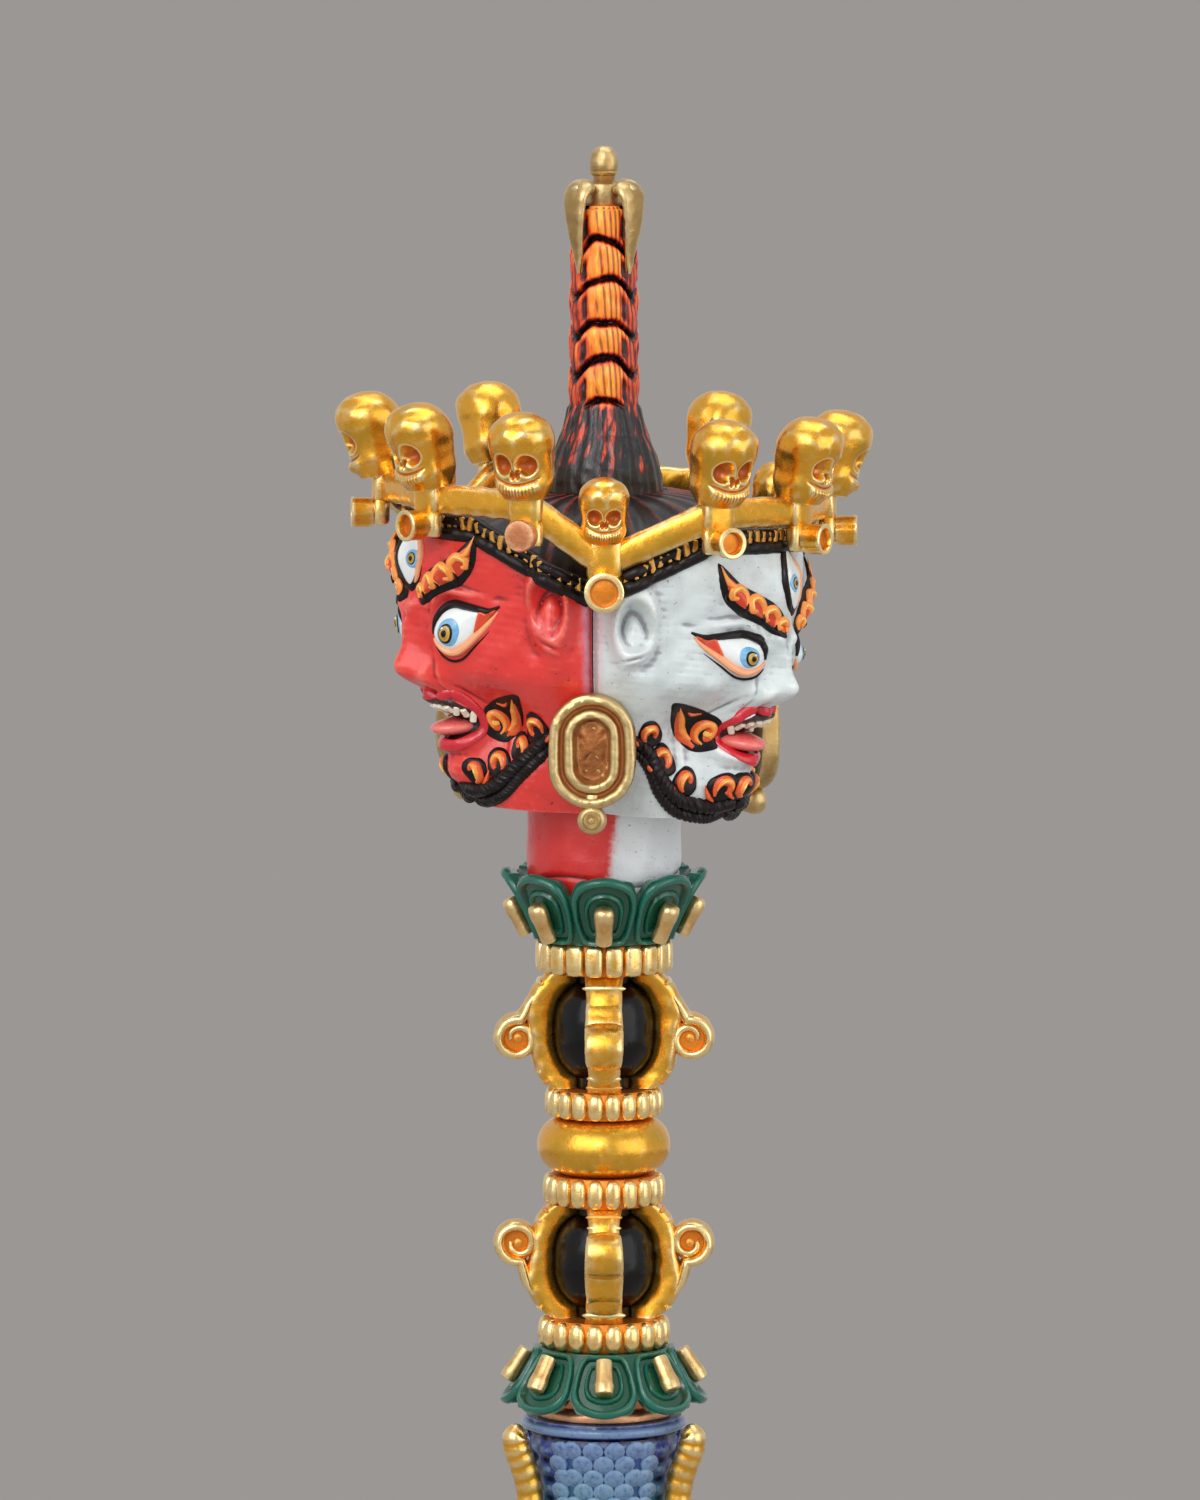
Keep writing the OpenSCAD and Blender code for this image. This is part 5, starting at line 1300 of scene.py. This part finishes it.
def make_bead_ring(i, z, h, r, power):
    """Twenty beads round a plain core."""
    shape = Shape()
    half_step = math.sin(math.radians(180 / 20))
    bead = r * half_step / (1 + half_step) - 0.02
    core = r - bead
    # The core between the beads gets extra painted shade.
    shape.lathe([(BORE, z + 0.02), (core - 0.15, z + 0.02), (core, z + 0.2), (core, z + h - 0.2),
                 (core - 0.15, z + h - 0.02), (BORE, z + h - 0.02)], PIT, hollow=0.3)
    az = (np.arange(20) + 0.5) * 18.0
    uneven = 1 + 0.03 * np.sin(az * 5.3 + i)
    repeat(shape, pillow(bead * 1.02, bead * 0.985, h / 2 - 0.03, power), GILDING,
           polar(core, az, np.full(20, z + h / 2)), facing(az),
           np.stack([uneven, np.ones(20), np.ones(20)], -1))
    return cast(shape, "beaded_ring_" + str(i), "gilding", "bead_ring_" + str(i))


CORE_R, CORE_END, CORE_PLATE = 5.2, 2.8, 0.62


def core_reach(up, h):
    """How far a core reaches at a height from its middle."""
    sine = np.clip(np.abs(up) / (h / 2 - CORE_PLATE), 0, 1) ** 1.25
    return np.maximum(CORE_R * np.sqrt(1 - sine ** 2) ** 0.8, CORE_END)


def make_core(side, z, h):
    """The black core of one cage."""
    shape = Shape()
    half, t = h / 2 - CORE_PLATE, np.radians(np.linspace(-90, 90, 60))
    r = np.maximum(CORE_R * np.abs(np.cos(t)) ** 0.8, CORE_END)
    up = half * np.sign(t) * np.abs(np.sin(t)) ** 0.8
    profile = np.concatenate([[(1.6, -h / 2 + 0.01), (CORE_END, -h / 2 + 0.01)], np.stack([r, up], -1),
                              [(CORE_END, h / 2 - 0.01), (1.6, h / 2 - 0.01)]])
    shape.lathe(profile + np.array([0, z + h / 2]), LACQUER, 96, 0.03, 2.0, 120)
    return cast(shape, side + "_lacquered_core", "black_lacquer", side + "_core")


def make_prong(side, i, z, h, curl_z):
    """A strap that bows out round the core, with a scroll on its back and three ties across it.

    It is drawn for the upper cage; the lower cage has it upside down and a little shorter.
    """
    az, flip = -90.0 * i, side == "lower"
    shape = Shape()
    stretch = h / UPPER_CAGE

    def side_view(places):
        p = np.asarray(places, float) * (1, stretch)
        high = h - p[:, 1] if flip else p[:, 1]
        return np.stack([p[:, 0], np.zeros(len(p)), z + high], -1)

    outer = smooth_path([(5.3, 0.02), (6.1, 0.6), (6.9, 1.6), (7.3, 3.2), (7.45, 5.0), (7.8, 6.6),
                         (8.1, 7.7), (7.75, 9.0), (6.9, 10.6), (5.6, 11.78)], 60)
    middle = h / stretch / 2
    inner = core_reach((outer[:, 1] - middle) * stretch, h) - 0.2
    wide = np.interp(outer[:, 1], [0, 1.5, 4, 8, 10.5, 11.8], [2.0, 1.75, 1.9, 2.0, 2.05, 2.15])
    x, y = oval(30, 2.8)
    rings = []
    for (far, high), near, half in zip(outer, inner, wide):
        r = (far + near) / 2 + (far - near) / 2 * x
        place = side_view(np.stack([r, np.full(30, high)], -1))
        rings.append(place + (y * half * (0.86 + 0.14 * x))[:, None] * (0, 1, 0))
    rings = np.array(rings)
    shape.loft(turned(rings + 0.05 * ripple(rings, 1.7, 130)[..., None], az), GILDING)
    centre = (8.62, curl_z / stretch)
    angle = np.radians(np.linspace(112, -370, 76))
    reach = np.interp(np.linspace(0, 1, 76), [0, 0.3, 1], [1.92, 1.86, 0.72])
    scroll = np.stack([centre[0] + reach * np.cos(angle), centre[1] + reach * np.sin(angle) / stretch], -1)
    path = np.concatenate([smooth_path([(7.0, 9.3), (7.5, 8.6), (7.8, 7.9), tuple(scroll[2])], 14)[:-1],
                           scroll[2:]])
    n = len(path)
    t = np.linspace(0, 1, n)
    wide = np.interp(t, [0, 0.15, 0.3, 0.6, 1], [1.75, 1.95, 1.95, 1.6, 1.25])
    tall = np.interp(t, [0, 0.12, 0.3, 0.7, 1], [0.4, 0.62, 0.62, 0.55, 0.4])
    out = np.cross((0, 1, 0), np.gradient(side_view(path), axis=0))
    rings = bar_rings(side_view(path), out, wide, tall, 2.5, 20)
    shape.loft(turned(rings + 0.03 * ripple(rings, 1.4, 131)[..., None], az), GILDING)

    def across(reach_and_side, finish, **marks):
        """A form turned round the scroll's own axis, from (reach, half width) pairs."""
        p = np.array([(r, -y) for r, y in reach_and_side] + [(r, y) for r, y in reach_and_side[::-1]])
        a = round_about(40)
        rings = [np.stack([centre[0] + r * np.cos(a), centre[1] + r * np.sin(a) / stretch], -1) for r, _ in p]
        rings = [side_view(ring) + (0, y, 0) for ring, (_, y) in zip(rings, p)]
        shape.loft(turned(rings, az), finish, **marks)

    # The axle inside the scroll gets extra painted shade.
    across([(0.05, 1.0), (0.9, 1.02), (1.6, 1.06), (1.75, 0.9)], PIT, hollow=0.2)
    across([(0.05, 1.24), (0.3, 1.22), (0.42, 1.12), (0.44, 0.9)], PIT)
    for r, high, half, thick, finish in ((6.5, 10.75, 2.15, 0.34, GILDING), (6.55, 1.7, 1.7, 0.34, GILDING),
                                         (5.9, 0.7, 1.8, 0.34, PIT)):
        y = np.linspace(-half, half, 15)[:, None]
        path = side_view([(r, high)]) + y * (0, 1, 0) - (0.22, 0, 0) * (y / half) ** 2
        round_end = thick * np.sqrt(np.clip(1 - (y[:, 0] / half) ** 4, 0.04, 1))
        shape.loft(turned(bar_rings(path, (0, 0, 1), round_end, round_end, 2.0, 12), az), finish)
    tag = "_prong_" + str(i + 1)
    return cast(shape, "scrolled_" + side + tag, "gilding", side + tag)


def make_knob():
    """The smooth knob between the cages."""
    shape = Shape()
    t = np.radians(np.linspace(-90, 90, 60))
    middle, half, waist = Z_KNOB + 2.95, 2.94, 3.75
    profile = np.stack([waist + 2.95 * np.cos(t), middle + half * np.sin(t)], -1)
    profile = np.concatenate([[(BORE, Z_KNOB + 0.01)], profile, [(BORE, Z_KNOB + 5.89)]])
    shape.lathe(profile, GILDING, 128, 0.04, 3.0, 140)
    return cast(shape, "smooth_grip_knob", "gilding", "grip_knob")


# Lotuses
PETAL_AZ = -90 + 45 * np.arange(8.0)


def petal(foot_r, rim_r, h):
    """One petal: a rolled rim round a dark field, and an arch that frames its stamen."""
    slant = math.hypot(h, rim_r - foot_r)
    out, down = h / slant, -(rim_r - foot_r) / slant
    half = [(0, 0.03), (9, 0.03), (16.5, 0.06), (20.2, 0.22), (21.4, 0.45), (20.9, 0.68), (16.8, 0.86),
            (9.2, 0.965), (0, 1.0)]
    loop = closed_path(half + [(-a, v) for a, v in half[-2:0:-1]], 5)
    middle = np.array([0, 0.40])
    rings = []
    for size, lift in ((0.06, -0.5), (0.7, -0.5), (0.98, -0.35), (1.01, 0.0), (1.0, 0.3), (0.965, 0.52),
                       (0.92, 0.6), (0.87, 0.52), (0.83, 0.28), (0.80, 0.0), (0.76, -0.1), (0.69, -0.06),
                       (0.645, 0.0), (0.62, 0.2), (0.585, 0.36), (0.545, 0.3), (0.51, 0.2), (0.485, 0.0),
                       (0.45, -0.08), (0.25, -0.06), (0.06, -0.06)):
        at = middle + (loop - middle) * size
        r = foot_r + (rim_r - foot_r) * at[:, 1] + out * lift
        rings.append(polar(r, at[:, 0], h * at[:, 1] + down * lift))
    shape = Shape()
    shape.loft(rings, None)
    return shape


def make_lotus(side, foot_z, h, rim_r, flip):
    """A cup of eight petals that opens up from foot_z, or down where flip is set."""
    foot_r, wall = LOTUS_FOOT, 1.1
    az = np.arange(288) * 1.25
    notch = (az - 67.5 + 22.5) % 45 - 22.5
    top = 0.955 - 0.24 * bell(notch, 4.2)
    rings = []
    for v in np.linspace(0, 1, 14):
        rings.append(polar(foot_r + (rim_r - foot_r) * v * top, az, h * v * top))
    for v in np.linspace(1, 0.24, 8):
        rings.append(polar(foot_r + (rim_r - foot_r) * v * top - wall, az, h * v * top))
    rings = [polar(BORE, az, 0)] + rings + [polar(BORE, az, 0.24 * h * 0.9)]
    form = Shape()
    form.loft(rings, GREEN)
    repeat(form, petal(foot_r, rim_r, h), GREEN, np.zeros((8, 3)), facing(PETAL_AZ))
    points = np.concatenate(form.points)
    points[:, 2] = foot_z + (-points[:, 2] if flip else points[:, 2])
    points = points + 0.035 * ripple(points, 1.5, 150)[:, None] * (1, 1, 0.4)
    form.points = [points]
    if flip:
        form.lathe([(BORE, foot_z - h + 0.02), (6.2, foot_z - h + 0.02), (6.35, foot_z - h + 0.3),
                    (6.35, foot_z - 1.7), (BORE, foot_z - 1.7)], COPPER)
    return cast(form, side + "_lotus_petals", "lotus_green", side + "_lotus")


def make_stamens(side, foot_z, h, rim_r, flip):
    """The eight stamens, each in the arch of its petal."""
    form = Shape()
    t = round_about(20)
    profile = [(0.4, 0.0), (0.8, 0.06), (0.86, 0.4), (0.86, 1.3), (0.9, 2.1), (0.97, 2.5), (1.02, 2.8),
               (1.02, 3.5), (0.9, 3.95), (0.6, 4.16), (0.08, 4.22)]
    if flip:
        profile = profile[:7] + [(0.97, 3.3), (0.9, 3.62), (0.7, 3.72), (0.1, 3.68)]
    form.loft([np.stack([r * 0.9 * np.cos(t), r * np.sin(t), np.full(20, z)], -1) for r, z in profile], None)
    slope = math.atan((rim_r - LOTUS_FOOT) / h)
    az = PETAL_AZ
    r = LOTUS_FOOT + 0.85 * math.tan(slope) + 0.98 * math.cos(slope)
    z = 0.85 - 0.98 * math.sin(slope)
    shape = Shape()
    lean = math.pi - slope if flip else slope
    repeat(shape, form, PALE_GOLD, polar(r, az, foot_z + (-z if flip else z)),
           facing(az, lean), 1 + 0.05 * np.sin(3.1 * np.arange(8.0)))
    return cast(shape, side + "_gold_stamens", "pale_gold", side + "_stamens")


# Makara and blade
MAKARA_SWELLS = [(0, 6.6, 17, 3.4, 1.05), (0, 0.8, 22, 2.2, 0.8), (26, 3.6, 9, 3, 0.25),
                 (22, 11.2, 8, 2.3, 0.5), (19, 15, 9, 1.3, 0.34), (36, 8, 8, 2.6, 0.2)]


def makara_angle(az):
    """Signed angle from the nearest snout."""
    return (np.asarray(az) + 30 + 60) % 120 - 60


def makara_outline(az, h):
    """How far the makara reaches from the axis."""
    a = np.abs(makara_angle(az))
    swell = sum(lift * bell(a - a0, wide) * bell(h - h0, tall) for a0, h0, wide, tall, lift in MAKARA_SWELLS)
    return 7.9 - bell(h - 18.5, 6) + 0.6 * bell(h, 8) + 6.4 * swell


def makara_at(az, h, out):
    """A place on the makara's skin."""
    az, h = np.broadcast_arrays(np.asarray(az, float), np.asarray(h, float))
    return polar(makara_outline(az, h) + out, az, Z_MAKARA + h)


def make_makara():
    """The casting with its snouts, eyes, brows and teeth, and scales between the snouts."""
    shape = Shape()
    az, h = np.arange(360)[None] * 1.0, np.linspace(0, 27, 150)[:, None]
    a = np.abs(makara_angle(az))
    r = makara_outline(az, h) + 0.35 * bell(h - 26.3, 0.5) - 0.3 * bell(h - 25.4, 0.35)
    folds = 0.22 * np.sin(h * 3.2) * bell(a - 8, 7) * share(h, 4.5, 7) * share(16, h, 13)
    r = r - 0.5 * bell(h - 3.4 - 0.05 * a, 0.5) * bell(a, 26) + folds
    r = r - 0.35 * bell(a - 6.5, 1.6) * bell(h - 7.4, 1.1) + 0.06 * ripple(polar(r, az, h), 2.0, 160)
    shape.loft(polar(r, az, Z_MAKARA + h), MAKARA)
    spots, heights = [], []
    for row, high in enumerate(np.arange(6.0, 25.2, 1.42)):
        reach = 26.0 if high > 12 else 15.0
        for offset in np.arange(-33 + 8.2 * (row % 2), 33.1, 16.4):
            if abs(offset) < reach:
                spots += [j + offset for j in JUNCTION_AZ]
                heights += [high] * 3
    for row, high in enumerate(np.arange(13.0, 25.2, 1.42)):
        for offset in (34 + 4 * (row % 2), -34 - 4 * (row % 2)):
            spots += [j + offset for j in JUNCTION_AZ]
            heights += [high] * 3
    az, h = np.array(spots, float), np.array(heights, float)
    repeat(shape, ball(0.42, 1.12, 1.05, 6, 10), MAKARA, makara_at(az, h, 0.05), facing(az, math.radians(17)))
    for f in FACE_AZ.values():
        for side in (1, -1):
            at, out = makara_at(f + side * 22, 10.9, 0.1), polar(1.0, f + side * 22, 0.12)
            for deep, reach, finish in ((0.0, 1.35, EYE_WHITE), (0.72, 0.86, OCHRE), (1.16, 0.42, LINER)):
                repeat(shape, ball(0.75, reach, reach, 9, 18), finish, at + out * deep,
                       turns_of(out[None], (0, 0, 1)))
            brow = smooth_path([(9, 12.6), (16, 14.6), (24, 15.2), (31, 14.0), (36, 15.4), (32, 16.6)], 40)
            cord(shape, makara_at(f + side * brow[:, 0], brow[:, 1], 0.2),
                 np.interp(np.arange(40), [0, 10, 30, 39], [0.3, 0.62, 0.5, 0.15]), GILDING, 12)
            lip = smooth_path([(3, 4.6), (12, 4.4), (24, 5.2), (34, 6.6), (40, 8.4), (37, 10.2), (33, 9.2)],
                              44)
            cord(shape, makara_at(f + side * lip[:, 0], lip[:, 1], 0.12),
                 np.interp(np.arange(44), [0, 10, 34, 43], [0.4, 0.55, 0.45, 0.15]), GILDING, 12)
        a = np.array([s * (3.0 + 6.0 * k) for k in range(6) for s in (1, -1)])
        at = makara_at(f + a, 3.2, -0.15)
        repeat(shape, block(0.4, 0.5, 0.75, 2.4, 8), IVORY, at, facing(f + a))
    ring = np.arange(121) * 3.0
    cord(shape, makara_at(ring, 26.25, 0.12), 0.5, MAKARA, 12)
    return cast(shape, "glazed_makara", "makara_blue", "makara_body")


def make_trunks():
    """A ringed trunk up from each snout."""
    bends = [(0.2, 10.2), (1.2, 11), (1.6, 12.6), (1.4, 14.6), (1.2, 16.8), (1.15, 19), (1.25, 21),
             (1.5, 22.8), (1.8, 24.3), (1.8, 25.6), (1.2, 26.2)]
    shares = [0.6, 0.85, 0.9, 0.92, 0.94, 0.96, 0.98, 1, 1, 0.95, 0.6]
    for i, f in enumerate(FACE_AZ.values()):
        shape = Shape()
        path = np.array([makara_at(f, h, 1.35 * out + 0.12) for out, h in bends])
        path = smooth_path(path, 110)
        t = np.linspace(0, 1, 110)
        thick = 1.35 * np.interp(t, np.linspace(0, 1, 11), shares)
        thick = thick * (0.96 + 0.07 * np.abs(np.sin(t * math.pi * 13)))
        up = polar(1.0, f, 0.0)
        shape.loft(bar_rings(path, up, thick, thick * 0.98, 2.2, 26), GILDING)
        cast(shape, "ringed_trunk_" + str(i + 1), "gilding", "makara_trunk_" + str(i + 1))


def make_seat():
    """The thin copper seat, a little uneven by hand."""
    shape = Shape()
    az = np.arange(120) * 3.0
    rim = 6.85 + 0.12 * ripple(polar(6.9, az, 0), 4.0, 170)
    rings = [polar(BORE, az, Z_SEAT + 0.01)]
    for inset, z in ((0.25, 0.01), (0.0, 0.2), (-0.04, 0.6), (0.05, 0.95), (0.3, 1.19)):
        rings.append(polar(rim - inset, az, Z_SEAT + z))
    rings.append(polar(BORE, az, Z_SEAT + 1.19))
    shape.loft(rings, COPPER)
    return cast(shape, "copper_seat", "bare_copper", "lotus_seat")


def make_gums():
    """The ribbed gum plate and its six fangs."""
    shape = Shape()
    az = np.arange(240) * 1.5
    ridge = 0.12 * sind(az * 24)
    rings = [polar(BORE, az, Z_GUM + 0.01)]
    for inset, z, wave in ((0.95, 0.01, 0), (0.66, 0.16, 0.4), (0.6, 0.5, 1), (0.6, 0.9, 1),
                           (0.66, 1.22, 0.4), (0.9, 1.39, 0)):
        rings.append(polar(makara_outline(az, 0) - inset + ridge * wave, az, Z_GUM + z))
    rings.append(polar(BORE, az, Z_GUM + 1.39))
    shape.loft(rings, PLATE_RED)
    for f in FACE_AZ.values():
        for side in (1, -1):
            t = np.linspace(0, 1, 18)
            bow = 9 + 0.5 * np.sin(math.pi * t * 0.5)
            path = np.stack([bow, side * (2.9 + 0.15 * t), Z_GUM + 0.35 - 4.5 * t], -1)
            thick = 0.82 * np.clip(1 - t ** 1.6, 0.04, 1)
            shape.loft(turned(bar_rings(path, (1, 0, 0), thick, thick, 2.0, 16), f), IVORY)
    return cast(shape, "red_gums_and_fangs", "red_paint", "gum_plate")


def fin_r(z):
    """Reach of the fins at a height."""
    return 0.9 + 14.5 * np.clip(z / Z_GUM, 0, 1) ** 0.78 - 2.8 * np.clip(1 - (Z_GUM - z) / 10, 0, 1) ** 2


def facet_edge(r):
    """How far a facet lies from the axis where two fins meet it."""
    return r * 0.5 + 0.39


def facet_half(r):
    """Half the width of a facet between two fins that reach to r."""
    return r * math.sin(math.pi / 3) - 0.225


def facet_d(s, z):
    """How far a facet lies from the axis, s to the side of its middle."""
    r = fin_r(z)
    middle = facet_edge(r) * 4.6 / facet_edge(12.6)
    return middle + (facet_edge(r) - middle) * np.square(s / facet_half(r))


def make_blade():
    """Three hollow-ground fins with a raised border along each edge."""
    shape = Shape()
    z = np.linspace(0, Z_GUM, 190)[:, None]
    s = np.linspace(-1, 1, 64)[None]
    end = facet_half(fin_r(z))
    border = (0.34 * bell(np.abs(s) - 0.9, 0.045) - 0.16 * bell(np.abs(s) - 0.81, 0.025)) * share(z, 6, 22)
    d = facet_d(s * end, z) + border * share(Z_GUM - z, 0, 2)
    sides = []
    for j in JUNCTION_AZ:
        c, n = math.cos(math.radians(j)), math.sin(math.radians(j))
        sides.append(np.stack(np.broadcast_arrays(d * c - s * end * n, d * n + s * end * c, z), -1))
    rings = np.concatenate(sides, axis=1)
    rings = rings + 0.03 * ripple(rings, 3.0, 180)[..., None] * (1, 1, 0)
    shape.loft(rings, GILDING)
    return cast(shape, "three_finned_blade", "gilding", "blade", crease=30)


NAGA_TAIL, NAGA_HEAD, NAGA_TWIST = 16, 89, 25


def make_nagas():
    """A green and a gold snake twined down each facet, heads up under the makara."""
    for i, j in enumerate(JUNCTION_AZ):
        shape = Shape()
        for side, finish in ((1, GREEN), (-1, GILDING)):
            z = np.linspace(NAGA_TAIL, NAGA_HEAD, 190)
            u = (z - NAGA_TAIL) / (NAGA_HEAD - NAGA_TAIL)
            phase = np.radians(360 * (NAGA_HEAD - z) / NAGA_TWIST + 90)
            s = side * 0.27 * fin_r(z) * np.sin(phase)
            r = 1.05 * (0.35 + 0.65 * np.sqrt(u)) * (1 + 0.45 * bell(u - 0.97, 0.025))
            d = facet_d(s, z) + r + 0.12 + (2 * r + 0.12) * np.square(np.maximum(0, side * np.cos(phase)))
            a = math.radians(j)
            path = np.stack([d * math.cos(a) - s * math.sin(a), d * math.sin(a) + s * math.cos(a), z], -1)
            ribs = r * (0.97 + 0.035 * np.sin(z * 9.0))
            cord(shape, path, np.concatenate([ribs[:-3], ribs[-3:] * [0.9, 0.7, 0.35]]), finish, 14)
            out, across = polar(1.0, j, 0.0), polar(1.0, j + 90, 0.0)
            eyes = np.array([path[-6] + out * 0.75 + across * k * 0.72 for k in (1, -1)]) + (0, 0, 0.4)
            repeat(shape, ball(0.34, 0.3, 0.34, 7, 10), EYE_WHITE, eyes)
            repeat(shape, ball(0.18, 0.16, 0.2, 6, 8), LINER, eyes + out * 0.26)
        cast(shape, "twined_nagas_" + str(i + 1), "lotus_green", "naga_pair_" + str(i + 1))


for i, ring in enumerate(BEAD_RINGS, 1):
    make_bead_ring(i, *ring)
for side, z, h, _ in CAGES:
    make_core(side, z, h)
for i in range(4):
    for cage in CAGES:
        make_prong(cage[0], i, *cage[1:])
make_knob()
for lotus in LOTUSES:
    make_lotus(*lotus)
for lotus in LOTUSES:
    make_stamens(*lotus)
make_makara()
make_trunks()
make_seat()
make_gums()
make_blade()
make_nagas()
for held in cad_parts["tie_rod"].material_slots:
    held.material = STEEL


# Floor, light and camera
BACKDROP = chart(155, 151, 149)


def make_floor():
    """A pale round floor that keeps the shadow and fades out into the backdrop."""
    reach, height = 0.7, -0.0002
    look = Look("pale_floor")
    fade = look.share(look.node("ShaderNodeVectorMath", {"operation": "LENGTH"}, {0: look.mm}, "Value"),
                      240.0, 640.0)
    grain = look.noise(9.0, 3.0)
    colour = look.mix(grain * 0.08, (166, 162, 159), (150, 146, 144))
    matt = look.node("ShaderNodeBsdfDiffuse", {}, {"Color": colour})
    glow = look.node("ShaderNodeEmission", {}, {"Color": BACKDROP})
    look.node_out(look.node("ShaderNodeMixShader", {}, {0: fade, 1: matt, 2: glow}))
    mesh = bpy.data.meshes.new("floor")
    t = round_about(96)
    rim = np.stack([reach * np.cos(t), reach * np.sin(t), 0 * t + height], -1)
    mesh.from_pydata(rim.tolist(), [], [list(range(96))])
    mesh.materials.append(look.material)
    linked("floor", mesh)


def make_air():
    """An even grey all round: the backdrop for the camera, a paler fill for light and reflections."""
    world = bpy.data.worlds.new("studio_air")
    bpy.context.scene.world = world
    world.use_nodes = True
    tree = world.node_tree
    tree.nodes.clear()
    rays = add_node(tree, "ShaderNodeLightPath", {}, {})
    fill = add_node(tree, "ShaderNodeBackground", {}, {"Color": (0.58, 0.58, 0.58, 1)})
    seen = add_node(tree, "ShaderNodeBackground", {}, {"Color": BACKDROP})
    mix = add_node(tree, "ShaderNodeMixShader", {},
                   {0: rays.outputs["Is Camera Ray"], 1: fill.outputs[0], 2: seen.outputs[0]})
    add_node(tree, "ShaderNodeOutputWorld", {}, {0: mix.outputs[0]})


def softbox(name, place, aim, width, height, watts):
    """One soft lamp, aimed at the object."""
    lamp = bpy.data.lights.new(name, "AREA")
    lamp.shape, lamp.size, lamp.size_y, lamp.energy = "RECTANGLE", width, height, watts
    box = linked(name, lamp)
    box.location = place
    box.rotation_euler = (Vector(aim) - Vector(place)).to_track_quat("-Z", "Y").to_euler()


make_floor()
make_air()
softbox("key_softbox", (-0.70, -1.15, 0.95), (0, 0, 0.19), 1.5, 1.5, 12.8)
softbox("fill_softbox", (1.15, -0.85, 0.5), (0, 0, 0.17), 1.3, 1.4, 6.9)
softbox("top_softbox", (0.1, 0.25, 1.7), (0, 0, 0.15), 1.4, 1.2, 9.4)
softbox("spark_softbox", (-0.3, -1.3, 1.05), (0, 0, 0.19), 0.3, 0.3, 3.2)

aim = Vector((-0.0004, 0.0, 0.1896))
tilt = math.radians(6)
camera = linked("camera", bpy.data.cameras.new("camera"))
camera.data.sensor_width, camera.data.lens = 36.0, 240.0
camera.location = aim + Vector((0, -math.cos(tilt), math.sin(tilt)))
camera.rotation_euler = (math.pi / 2 - tilt, 0, 0)
bpy.context.scene.camera = camera
bpy.context.scene.view_settings.view_transform = "Standard"
